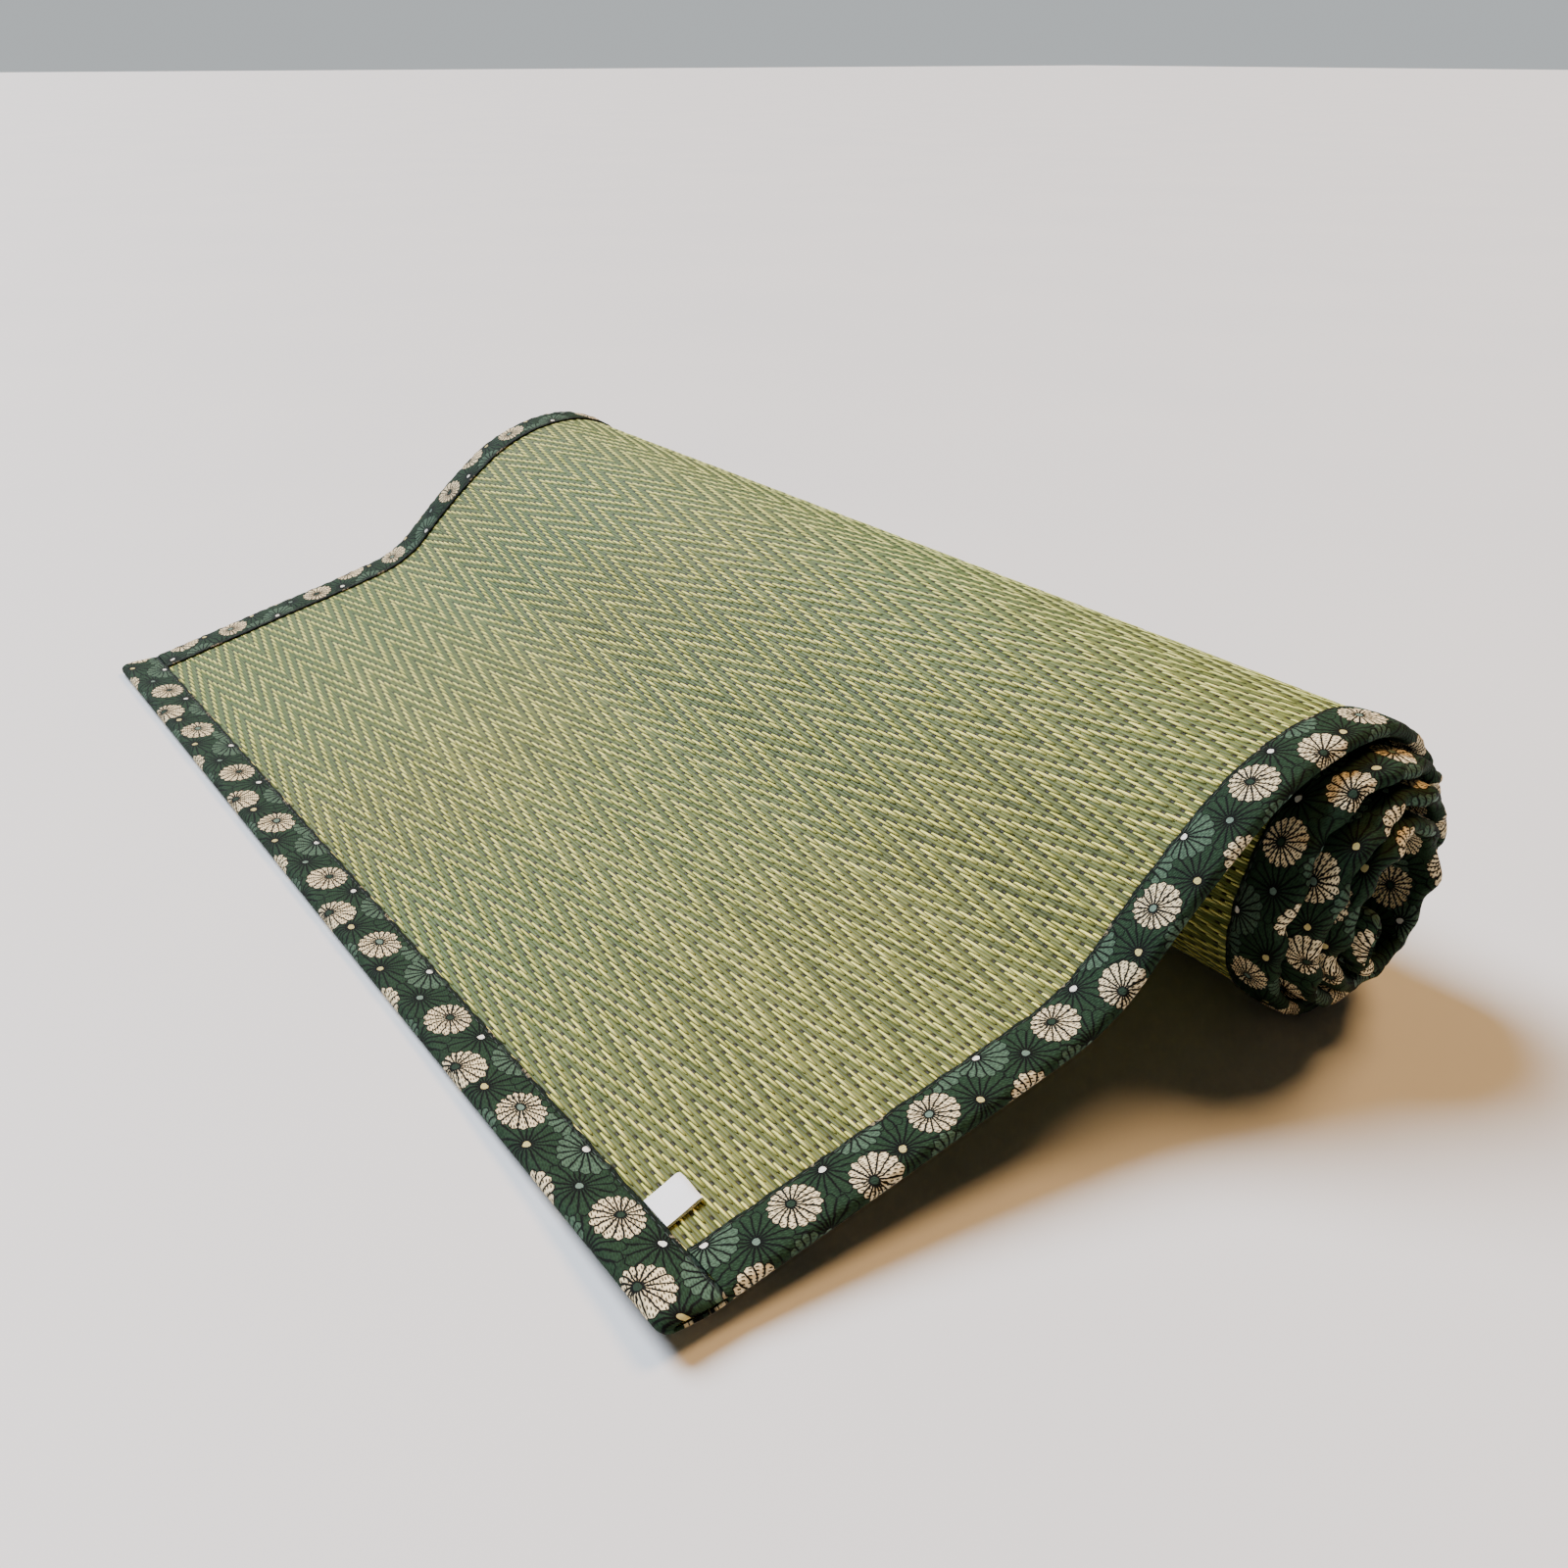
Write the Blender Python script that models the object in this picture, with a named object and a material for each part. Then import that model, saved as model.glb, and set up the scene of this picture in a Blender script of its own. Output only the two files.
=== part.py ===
"""A bordered rush mat whose front slopes down to the floor and whose other end is rolled up underneath.

The mat is one long sheet. Every piece is placed by three numbers: s, the length along the sheet from its
front edge; v, the place across its width; and h, the height above the middle of the sheet, on the side that
faces up at the front and out on the roll. sheet_point turns them into a point. Metres, +Z up, X from the
front edge to the roll, Y across the width.
"""

from math import cos, exp, pi, radians, sin

import bmesh
import bpy
import numpy as np
from mathutils import Vector

# The sheet
MAT_WIDTH = 0.600
RUSH_THICKNESS = 0.0026
ROLL_TURNS = 3.79
ROLL_PITCH = 0.0088
# The roll is a little taller than it is wide, because the sheet pulls it up as it rises in front
ROLL_NARROWING = 0.90
FLAT_SPOT_DEPTH = 0.0006

# The border cloth, folded round the edges of the rush sheet
BORDER_WIDTH = 0.021
BORDER_CLOTH = 0.0010
GAP = 0.0003
CLOTH_MIDDLE = RUSH_THICKNESS / 2 + GAP + BORDER_CLOTH / 2
HALF_EDGE = CLOTH_MIDDLE + BORDER_CLOTH / 2
RUSH_INSET = 0.0033
FOLD_STEPS = 4

# The sheet in front of the roll, a row for each stretch: its length, and the slope in degrees it ends at
FRONT_STRETCHES = (
    ("front edge, flat on the floor", 0.010, 0.0),
    ("first lift", 0.012, 13.5),
    ("long rise", 0.129, 13.5),
    ("bends up", 0.038, 46.0),
    ("steepest", 0.019, 43.0),
    ("eases off", 0.040, 36.0),
    ("crest", 0.060, 0.0),
)

# How far the roll's turns have slid along its axis, in millimetres, a row for each turn from the crest on
TURN_SLIDES = (
    # top, right, bottom, left
    (0.0, 5.0, 3.0, -8.0),
    (-12.0, -3.0, -6.0, -18.0),
    (-19.0, -9.0, -12.0, -21.0),
    (-22.0, -14.0, -18.0, -25.0),
)

# Stations along the sheet
FRONT_STEP = 0.0115
STEPS_PER_TURN = 28
END_STATIONS = (0.010, 0.016, BORDER_WIDTH, 0.030)
TRACE_STEP = 0.0005

# Rounded ends of the end borders, a row for each station: from the end, in from the edge, share of thickness
BORDER_END_ROWS = (
    (0.0005, 0.0030, 0.45),
    (0.0014, 0.0014, 0.80),
    (0.0030, 0.0004, 1.00),
)

# Places across the width where the rush sheet and the end borders may bend, between the two lips
INNER_WIDTHS = (-0.220, -0.140, 0.0)

# The front corner on the right stands off the floor and flares a little
CORNER_LIFT = 0.007
CORNER_FLARE = Vector((-0.0030, -0.0055, CORNER_LIFT))
CORNER_REACH_ALONG = 0.140
CORNER_REACH_ACROSS = 0.200

# The rolled edges are wavy: height of the wave, its length along the sheet, and how fast it fades inwards
WAVE_HEIGHT = 0.0008
WAVE_SHIFT = 0.0012
WAVE_LENGTH = 0.058
WAVE_FADE = 0.022
WAVE_CLEARS_FLOOR_FROM = 0.008
WAVE_CLEARS_FLOOR_OVER = 0.025

# The folded tab at the front border
TAB_START = BORDER_WIDTH + 0.0004
TAB_LENGTH = 0.0135
TAB_WIDTH = 0.0135
TAB_CENTRE = -0.2612
TAB_CLOTH = 0.0005
TAB_TILT = 0.0015
# Its section, a row for each bend: share of its length, and height in millimetres above the rush face
TAB_SECTION = (
    (0.00, 0.55),
    (0.40, 0.80),
    (0.75, 1.30),
    (0.96, 1.80),
    (1.00, 2.20),
    (0.96, 2.60),
    (0.75, 2.15),
    (0.40, 1.70),
    (0.00, 1.40),
)


def front_trace():
    """Points of the middle of the sheet, from the front edge to the crest."""
    points = [(0.0, HALF_EDGE)]
    slope = 0.0
    for _, length, end_slope in FRONT_STRETCHES:
        steps = round(length / TRACE_STEP)
        for step in range(steps):
            angle = radians(slope + (end_slope - slope) * (step + 0.5) / steps)
            x, z = points[-1]
            points.append((x + TRACE_STEP * cos(angle), z + TRACE_STEP * sin(angle)))
        slope = end_slope
    return np.array(points)


def roll_trace(crest_x, crest_z):
    """Turns and points of the spiral that follows the crest, flattened where it meets the floor."""
    start_radius = (crest_z - HALF_EDGE + FLAT_SPOT_DEPTH + ROLL_PITCH / 2) / 2
    steps = round(start_radius * 2 * pi * ROLL_TURNS / TRACE_STEP)
    turns = np.linspace(0.0, ROLL_TURNS, steps + 1)[1:]
    radii = start_radius - ROLL_PITCH * turns
    x = crest_x + ROLL_NARROWING * radii * np.sin(2 * pi * turns)
    z = crest_z - start_radius + radii * np.cos(2 * pi * turns)
    return turns, np.column_stack([x, np.maximum(z, HALF_EDGE)])


FRONT_TRACE = front_trace()
ROLL_TURNS_TRACED, ROLL_TRACE = roll_trace(*FRONT_TRACE[-1])
TRACE = np.vstack([FRONT_TRACE, ROLL_TRACE])
TRACE_TURNS = np.concatenate([np.zeros(len(FRONT_TRACE)), ROLL_TURNS_TRACED])
TRACE_LENGTHS = np.concatenate([[0.0], np.cumsum(np.hypot(*np.diff(TRACE, axis=0).T))])
CREST_LENGTH = TRACE_LENGTHS[len(FRONT_TRACE) - 1]
SHEET_LENGTH = TRACE_LENGTHS[-1]


def path_point(s):
    """x and z of the middle of the sheet."""
    return np.array([np.interp(s, TRACE_LENGTHS, TRACE[:, axis]) for axis in (0, 1)])


def path_normal(s):
    """The direction square to the sheet, out of the face that is up at the front."""
    reach = 2 * TRACE_STEP
    x, z = path_point(min(s + reach, SHEET_LENGTH)) - path_point(max(s - reach, 0.0))
    return np.array([-z, x]) / np.hypot(x, z)


def slide(s):
    """How far the sheet has slid along the roll's axis at s, on a smooth curve through TURN_SLIDES."""
    knots = [value / 1000 for row in TURN_SLIDES for value in row]
    position = min(float(np.interp(s, TRACE_LENGTHS, TRACE_TURNS)) * 4, len(knots) - 1.0)
    first = min(int(position), len(knots) - 2)
    before, start, end, after = (knots[min(max(first + k, 0), len(knots) - 1)] for k in (-1, 0, 1, 2))
    t = position - first
    if position == 0.0:
        return start
    bend = 2 * before - 5 * start + 4 * end - after
    twist = 3 * (start - end) + after - before
    return start + t * (end - before + t * (bend + t * twist)) / 2


def corner_share(s, v):
    """1 at the raised front corner, falling to 0 over the corner's reach."""
    along = max(0.0, 1 - s / CORNER_REACH_ALONG)
    across = max(0.0, 1 - (v + MAT_WIDTH / 2) / CORNER_REACH_ACROSS)
    return (along * across) ** 2


def wave_share(s, v, z):
    """How strongly the rolled edge is wavy: full at an edge of the roll, none on the floor or in front."""
    started = min(1.0, max(0.0, (s - CREST_LENGTH) / WAVE_LENGTH))
    clear = min(1.0, max(0.0, (z - WAVE_CLEARS_FLOOR_FROM) / WAVE_CLEARS_FLOOR_OVER))
    from_edge = MAT_WIDTH / 2 - abs(v)
    return started * clear * exp(-max(from_edge, 0.0) / WAVE_FADE)


def sheet_point(s, v, h):
    """The point at length s, place v across the width and height h above the middle of the sheet."""
    x, z = path_point(s)
    normal = path_normal(s)
    share = wave_share(s, v, z)
    phase = 2 * pi * s / WAVE_LENGTH + (0.0 if v < 0 else 2.0)
    h += WAVE_HEIGHT * share * sin(phase)
    y = v + slide(s) + WAVE_SHIFT * share * cos(0.8 * phase)
    return Vector((x + h * normal[0], y, z + h * normal[1])) + CORNER_FLARE * corner_share(s, v)


def body_stations():
    """Lengths along the sheet where it may bend, between its two ends."""
    first, last = END_STATIONS[-1], SHEET_LENGTH - END_STATIONS[-1]
    front_count = round((CREST_LENGTH - first) / FRONT_STEP)
    front = [float(s) for s in np.linspace(first, CREST_LENGTH, front_count + 1)]
    turns = [(k + 0.5) / STEPS_PER_TURN for k in range(int(ROLL_TURNS * STEPS_PER_TURN))]
    roll = [float(np.interp(turn, TRACE_TURNS, TRACE_LENGTHS)) for turn in turns]
    clear = 0.4 * (END_STATIONS[-1] - END_STATIONS[-2])
    start = list(END_STATIONS[:-1])
    end = [SHEET_LENGTH - s for s in reversed(END_STATIONS)]
    return start + front + [s for s in roll if s < last - clear] + end


def finish(name, mesh_data, thickness, colour, roughness):
    """Makes the object of a sheet of cloth, gives it its thickness, and gives it a material."""
    mesh = bpy.data.meshes.new(name)
    bmesh.ops.recalc_face_normals(mesh_data, faces=mesh_data.faces)
    mesh_data.to_mesh(mesh)
    mesh_data.free()
    mesh.shade_smooth()
    piece = bpy.data.objects.new(name, mesh)
    bpy.context.scene.collection.objects.link(piece)
    solidify = piece.modifiers.new("Cloth thickness", "SOLIDIFY")
    solidify.thickness = thickness
    solidify.offset = 0.0
    solidify.use_even_offset = True
    material = bpy.data.materials.new(name)
    material.use_nodes = True
    shader = material.node_tree.nodes["Principled BSDF"]
    shader.inputs["Base Color"].default_value = (*colour, 1.0)
    shader.inputs["Roughness"].default_value = roughness
    mesh.materials.append(material)
    return piece


def bridge_rows(mesh_data, rows):
    """Faces between each row of vertices and the next."""
    for row, following in zip(rows, rows[1:]):
        for k in range(len(row) - 1):
            mesh_data.faces.new((row[k], row[k + 1], following[k + 1], following[k]))


def close_end(mesh_data, row):
    """Closes the end of a folded border: each vertex above the fold is joined to the one below it."""
    last = len(row) - 1
    for k in range(len(row) // 2):
        corners = [row[k], row[k + 1], row[last - k - 1], row[last - k]]
        mesh_data.faces.new(list(dict.fromkeys(corners)))


def fold_section(inner_stops):
    """Section of cloth folded round an edge: distance in from the edge and height, from lip to lip."""
    radius = CLOTH_MIDDLE
    centre = HALF_EDGE
    angles = [pi * step / FOLD_STEPS for step in range(FOLD_STEPS + 1)]
    fold = [(centre - radius * sin(angle), radius * cos(angle)) for angle in angles]
    above = [(stop, radius) for stop in inner_stops]
    below = [(stop, -radius) for stop in reversed(inner_stops)]
    return above + fold + below


def make_rush_sheet():
    edge = MAT_WIDTH / 2 - RUSH_INSET
    lip = MAT_WIDTH / 2 - BORDER_WIDTH
    widths = (-edge, -lip, *INNER_WIDTHS, lip, edge)
    lengths = [RUSH_INSET, *body_stations(), SHEET_LENGTH - RUSH_INSET]
    mesh_data = bmesh.new()
    rows = [[mesh_data.verts.new(sheet_point(s, v, 0.0)) for v in widths] for s in lengths]
    bridge_rows(mesh_data, rows)
    return finish("rush_sheet", mesh_data, RUSH_THICKNESS, (0.42, 0.43, 0.20), 0.55)


def make_side_border(name, side):
    """The border of one long edge, between the end borders: side is -1 on the right and 1 on the left."""
    section = fold_section((BORDER_WIDTH,))
    start = BORDER_WIDTH + GAP
    between = [s for s in body_stations() if start + GAP < s < SHEET_LENGTH - start - GAP]
    mesh_data = bmesh.new()
    rows = []
    for s in (start, *between, SHEET_LENGTH - start):
        row = []
        for from_edge, h in section:
            row.append(mesh_data.verts.new(sheet_point(s, side * (MAT_WIDTH / 2 - from_edge), h)))
        rows.append(row)
    bridge_rows(mesh_data, rows)
    return finish(name, mesh_data, BORDER_CLOTH, (0.045, 0.085, 0.055), 0.8)


def make_end_border(name, length_at):
    """The border of a short edge, over the whole width. length_at turns its distance in into s."""
    section = fold_section((BORDER_WIDTH, END_STATIONS[1], END_STATIONS[0]))
    lip = MAT_WIDTH / 2 - BORDER_WIDTH
    right_end = [(from_end - MAT_WIDTH / 2, inset, share) for from_end, inset, share in BORDER_END_ROWS]
    left_end = [(-v, inset, share) for v, inset, share in reversed(right_end)]
    between = [(v, 0.0, 1.0) for v in (-lip, *INNER_WIDTHS, lip)]
    mesh_data = bmesh.new()
    rows = []
    for v, inset, share in right_end + between + left_end:
        row = []
        for from_edge, h in section:
            inwards = inset + from_edge * (1 - inset / BORDER_WIDTH)
            row.append(mesh_data.verts.new(sheet_point(length_at(inwards), v, h * share)))
        rows.append(row)
    bridge_rows(mesh_data, rows)
    close_end(mesh_data, rows[0])
    close_end(mesh_data, rows[-1])
    return finish(name, mesh_data, BORDER_CLOTH, (0.045, 0.085, 0.055), 0.8)


def make_tab():
    """A short piece of tape folded in two, its ends at the front border and its fold out over the rush."""
    mesh_data = bmesh.new()
    rows = []
    for share, height in TAB_SECTION:
        s = TAB_START + TAB_LENGTH * share
        h = RUSH_THICKNESS / 2 + height / 1000
        centre = TAB_CENTRE + TAB_TILT * share
        rows.append(
            [mesh_data.verts.new(sheet_point(s, centre + TAB_WIDTH * side, h)) for side in (-0.5, 0.0, 0.5)]
        )
    bridge_rows(mesh_data, rows)
    return finish("tab", mesh_data, TAB_CLOTH, (0.80, 0.80, 0.82), 0.7)


def centre_on_floor(pieces):
    """Puts the pieces under one empty, moved so that the origin is below the middle of the whole mat."""
    bpy.context.view_layer.update()
    graph = bpy.context.evaluated_depsgraph_get()
    points = []
    for piece in pieces:
        evaluated = piece.evaluated_get(graph)
        mesh = evaluated.to_mesh()
        points += [evaluated.matrix_world @ vertex.co for vertex in mesh.vertices]
        evaluated.to_mesh_clear()
    low = Vector([min(point[axis] for point in points) for axis in range(3)])
    high = Vector([max(point[axis] for point in points) for axis in range(3)])
    carrier = bpy.data.objects.new("mat_on_floor", None)
    bpy.context.scene.collection.objects.link(carrier)
    carrier.location = (-(low.x + high.x) / 2, -(low.y + high.y) / 2, -low.z)
    for piece in pieces:
        piece.parent = carrier


def main():
    for leftover in list(bpy.data.objects):
        bpy.data.objects.remove(leftover)
    centre_on_floor(
        [
            make_rush_sheet(),
            make_side_border("border_right", -1),
            make_side_border("border_left", 1),
            make_end_border("border_front", lambda inwards: inwards),
            make_end_border("border_inner_end", lambda inwards: SHEET_LENGTH - inwards),
            make_tab(),
        ]
    )


main()
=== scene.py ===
# %% [markdown]
# A rush mat bound in flowered brocade, its front on the floor and its other end rolled up underneath.
# The solids of the frame hold the true shape of every sheet. This script dresses them: the rushes get
# their twill, the border its flowers, puckers and stitches, and the folded tab its tape. Metres, +Z up,
# X from the front edge to the roll, Y along the roll from the right end to the left end.

from math import cos, pi, radians, sin, sqrt

import bpy
import numpy as np
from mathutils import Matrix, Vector


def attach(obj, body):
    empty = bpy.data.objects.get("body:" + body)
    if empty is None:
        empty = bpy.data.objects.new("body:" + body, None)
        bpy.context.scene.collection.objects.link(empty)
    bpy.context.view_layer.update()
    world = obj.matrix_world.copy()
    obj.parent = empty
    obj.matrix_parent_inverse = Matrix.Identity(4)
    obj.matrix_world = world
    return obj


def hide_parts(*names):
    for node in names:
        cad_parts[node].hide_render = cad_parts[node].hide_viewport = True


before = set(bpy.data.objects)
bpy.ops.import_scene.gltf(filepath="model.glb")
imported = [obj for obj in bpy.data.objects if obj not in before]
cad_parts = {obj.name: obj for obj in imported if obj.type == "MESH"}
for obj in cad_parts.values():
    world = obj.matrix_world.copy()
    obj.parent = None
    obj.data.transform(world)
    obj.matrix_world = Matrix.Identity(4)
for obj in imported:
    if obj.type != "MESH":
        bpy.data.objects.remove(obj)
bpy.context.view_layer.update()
print("nodes:", sorted(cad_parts))

# %% [markdown]
# The camera comes first, so that every later look can be set against the picture. It stands low in front
# of the right corner and looks along the mat towards the roll. Its place and lens were worked out from the
# straight edges of the mat, so no shift is needed.

# %% Camera
CAMERA_PLACE = Vector((-0.310136, -0.560019, 0.31477))
CAMERA_FORWARD = Vector((0.5105, 0.7427, -0.4333))
CAMERA_LENS_MM = 34.98

camera_data = bpy.data.cameras.new("camera")
camera_data.sensor_width = 36.0
camera_data.lens = CAMERA_LENS_MM
camera = bpy.data.objects.new("camera", camera_data)
camera.location = CAMERA_PLACE
camera.rotation_euler = CAMERA_FORWARD.to_track_quat("-Z", "Y").to_euler()
bpy.context.scene.collection.objects.link(camera)
bpy.context.scene.camera = camera
print("camera height:", round(CAMERA_PLACE.z, 3), "m")

# %% [markdown]
# The whole mat is one long sheet, so every thread is placed by three numbers: s, the length along the sheet
# from its front edge; v, the place across its width; and h, the height above the middle of the sheet, on
# the face that is up at the front and out on the roll. These are the sizes of the real mat and of how it
# lies: a flat front edge, a long rise, a bend up to the crest, and a spiral with almost four turns.

# %% Sizes of the sheet and how it lies
MAT_WIDTH = 0.600
RUSH_THICKNESS = 0.0026
ROLL_TURNS = 3.79
ROLL_PITCH = 0.0088
ROLL_NARROWING = 0.90
FLAT_SPOT_DEPTH = 0.0006
BORDER_WIDTH = 0.021
BORDER_CLOTH = 0.0010
GAP = 0.0003
CLOTH_MIDDLE = RUSH_THICKNESS / 2 + GAP + BORDER_CLOTH / 2
HALF_EDGE = CLOTH_MIDDLE + BORDER_CLOTH / 2
MAT_ORIGIN = np.array((-0.164527, 0.010025, 0.0))
TRACE_STEP = 0.0005
# Stretches in front of the roll: length, and the slope in degrees at its end
FRONT_STRETCHES = (
    ("front edge, flat on the floor", 0.010, 0.0),
    ("first lift", 0.012, 13.5),
    ("long rise", 0.129, 13.5),
    ("bends up", 0.038, 46.0),
    ("steepest", 0.019, 43.0),
    ("eases off", 0.040, 36.0),
    ("crest", 0.060, 0.0),
)
# Millimetres that the turns have slid along the roll, a row for each turn from the crest on
TURN_SLIDES = (
    # top, right, bottom, left
    (0.0, 5.0, 3.0, -8.0),
    (-12.0, -3.0, -6.0, -18.0),
    (-19.0, -9.0, -12.0, -21.0),
    (-22.0, -14.0, -18.0, -25.0),
)
CORNER_LIFT = 0.007
CORNER_FLARE = np.array((-0.0030, -0.0055, CORNER_LIFT))
CORNER_REACH_ALONG = 0.140
CORNER_REACH_ACROSS = 0.200
WAVE_HEIGHT = 0.0008
WAVE_SHIFT = 0.0012
WAVE_LENGTH = 0.058
WAVE_FADE = 0.022
WAVE_CLEARS_FLOOR_FROM = 0.008
WAVE_CLEARS_FLOOR_OVER = 0.025

# %% [markdown]
# Seen from its end, the sheet is one line. The front part is drawn by walking along it in steps of half a
# millimetre, each a little steeper or flatter than the last, and the roll is a spiral around the crest. A
# curve object could hold the same line, but in a plain table every thread can look up its own place.

# %% The line of the sheet, seen from its end
def front_trace():
    """Points of the middle of the sheet, from the front edge to the crest."""
    points = [(0.0, HALF_EDGE)]
    slope = 0.0
    for _, length, end_slope in FRONT_STRETCHES:
        steps = round(length / TRACE_STEP)
        for step in range(steps):
            angle = radians(slope + (end_slope - slope) * (step + 0.5) / steps)
            x, z = points[-1]
            points.append((x + TRACE_STEP * cos(angle), z + TRACE_STEP * sin(angle)))
        slope = end_slope
    return np.array(points)


def roll_trace(crest_x, crest_z):
    """Turns and points of the spiral that follows the crest, flattened where it meets the floor."""
    start_radius = (crest_z - HALF_EDGE + FLAT_SPOT_DEPTH + ROLL_PITCH / 2) / 2
    steps = round(start_radius * 2 * pi * ROLL_TURNS / TRACE_STEP)
    turns = np.linspace(0.0, ROLL_TURNS, steps + 1)[1:]
    radii = start_radius - ROLL_PITCH * turns
    x = crest_x + ROLL_NARROWING * radii * np.sin(2 * pi * turns)
    z = crest_z - start_radius + radii * np.cos(2 * pi * turns)
    return turns, np.column_stack([x, np.maximum(z, HALF_EDGE)])


FRONT_TRACE = front_trace()
ROLL_TURNS_TRACED, ROLL_TRACE = roll_trace(*FRONT_TRACE[-1])
TRACE = np.vstack([FRONT_TRACE, ROLL_TRACE])
TRACE_TURNS = np.concatenate([np.zeros(len(FRONT_TRACE)), ROLL_TURNS_TRACED])
TRACE_LENGTHS = np.concatenate([[0.0], np.cumsum(np.hypot(*np.diff(TRACE, axis=0).T))])
CREST_LENGTH = TRACE_LENGTHS[len(FRONT_TRACE) - 1]
SHEET_LENGTH = TRACE_LENGTHS[-1]
print("sheet length:", round(SHEET_LENGTH, 3), "m, crest at", round(CREST_LENGTH, 3), "m")

# %% [markdown]
# The turns of a loose roll slide along each other, so its end is a stepped cone. The table above gives four
# places to a turn, and a smooth curve runs through them. The front right corner stands off the floor, and
# the rolled edges are wavy. Each of these is a small function of the place on the flat sheet.

# %% From the flat sheet to its place
def path_point(s):
    """x and z of the middle of the sheet, a row for each s."""
    return np.column_stack([np.interp(s, TRACE_LENGTHS, TRACE[:, axis]) for axis in (0, 1)])


def path_normal(s):
    """Directions square to the sheet, out of the face that is up at the front."""
    reach = 2 * TRACE_STEP
    step = path_point(np.minimum(s + reach, SHEET_LENGTH)) - path_point(np.maximum(s - reach, 0.0))
    step /= np.hypot(*step.T)[:, None]
    return np.column_stack([-step[:, 1], step[:, 0]])


def slide(s):
    """How far the sheet has slid along the roll's axis at each s, on a smooth curve through the table."""
    knots = np.array([value / 1000 for row in TURN_SLIDES for value in row])
    last = len(knots) - 1
    position = np.minimum(np.interp(s, TRACE_LENGTHS, TRACE_TURNS) * 4, float(last))
    first = np.minimum(position.astype(int), last - 1)
    before, start, end, after = (knots[np.clip(first + k, 0, last)] for k in (-1, 0, 1, 2))
    t = position - first
    bend = 2 * before - 5 * start + 4 * end - after
    twist = 3 * (start - end) + after - before
    return start + t * (end - before + t * (bend + t * twist)) / 2 * (position > 0)


def corner_share(s, v):
    """1 at the raised front corner, falling to 0 over the corner's reach."""
    along = np.maximum(0.0, 1 - s / CORNER_REACH_ALONG)
    across = np.maximum(0.0, 1 - (v + MAT_WIDTH / 2) / CORNER_REACH_ACROSS)
    return (along * across) ** 2


def wave_share(s, v, z, fade=WAVE_FADE):
    """How strongly the rolled edge is wavy: full at an edge of the roll, none on the floor or in front."""
    started = np.clip((s - CREST_LENGTH) / WAVE_LENGTH, 0.0, 1.0)
    clear = np.clip((z - WAVE_CLEARS_FLOOR_FROM) / WAVE_CLEARS_FLOOR_OVER, 0.0, 1.0)
    return started * clear * np.exp(-np.maximum(MAT_WIDTH / 2 - np.abs(v), 0.0) / fade)


# %% [markdown]
# A rolled mat is never as even as its plan. The border draws its edge in, so the rim of the roll is
# ruffled, and the sheet itself has shallow hollows. Both are sums of a few long sine waves that don't
# share a length, so that no repeat shows.

# %% Ruffled rim, shallow hollows, and the place of any thread
RUFFLE_HEIGHT = 0.0014
RUFFLE_SHIFT = 0.0022
RUFFLE_LENGTH = 0.0210
RUFFLE_FADE = 0.009
HOLLOW_DEPTH = 0.0005
HOLLOW_LENGTH = 0.085


def uneven(t, length):
    """A wandering wave between about -1 and 1, for t in metres."""
    turn = 2 * pi * t / length
    return 0.5 * np.sin(turn) + 0.32 * np.sin(1.618 * turn + 1.3) + 0.22 * np.sin(2.414 * turn + 4.0)


def sheet_points(s, v, h):
    """Places of threads at length s, place v across the width and height h above the middle."""
    s, v, h = (np.asarray(value, float) * np.ones(np.broadcast(s, v, h).shape) for value in (s, v, h))
    middle, normal = path_point(s), path_normal(s)
    share = wave_share(s, v, middle[:, 1])
    phase = 2 * pi * s / WAVE_LENGTH + np.where(v < 0, 0.0, 2.0)
    height = h + WAVE_HEIGHT * share * np.sin(phase)
    y = v + slide(s) + WAVE_SHIFT * share * np.cos(0.8 * phase)
    rim = wave_share(s, v, middle[:, 1], RUFFLE_FADE)
    side = np.where(v < 0, 0.0, 0.31)
    height += RUFFLE_HEIGHT * rim * uneven(s + side, RUFFLE_LENGTH)
    y += RUFFLE_SHIFT * rim * uneven(s + side + 0.11, 1.4 * RUFFLE_LENGTH)
    in_front = np.clip((s - 0.05) / 0.06, 0.0, 1.0) * np.clip((CREST_LENGTH + 0.02 - s) / 0.06, 0.0, 1.0)
    hollow = uneven(s + 0.4 * v, HOLLOW_LENGTH) * uneven(v - 0.2 * s, 2.6 * HOLLOW_LENGTH)
    height += HOLLOW_DEPTH * in_front * hollow
    points = np.column_stack([middle[:, 0] + height * normal[:, 0], y, middle[:, 1] + height * normal[:, 1]])
    return points + MAT_ORIGIN + CORNER_FLARE * corner_share(s, v)[:, None]


print("crest:", sheet_points([CREST_LENGTH], [0.0], [0.0]).round(4).tolist())

# %% [markdown]
# Colours are written as on a screen, in sRGB hex, and the shaders work in linear light, so one function
# turns the one into the other. A second small function adds a node, its settings and its links.

# %% Colour and node helpers
def linear(code, alpha=1.0):
    """A colour written as sRGB hex, as the linear values that a shader takes."""
    parts = [int(code[k:k + 2], 16) / 255 for k in (1, 3, 5)]
    return (*[p / 12.92 if p <= 0.04045 else ((p + 0.055) / 1.055) ** 2.4 for p in parts], alpha)


def add(tree, kind, inputs=(), operation=None, **settings):
    """Adds a node. inputs lists values, sockets and nodes in order, or maps sockets to them."""
    node = tree.nodes.new(kind if kind.startswith("NodeGroup") else "ShaderNode" + kind)
    if operation:
        node.operation = operation
    for name, value in settings.items():
        setattr(node, name, value)
    for name, value in inputs.items() if isinstance(inputs, dict) else enumerate(inputs):
        # A node stands for its first output
        if isinstance(value, bpy.types.Node):
            value = value.outputs[0]
        if isinstance(value, bpy.types.NodeSocket):
            tree.links.new(value, node.inputs[name])
        else:
            node.inputs[name].default_value = value
    return node


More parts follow.
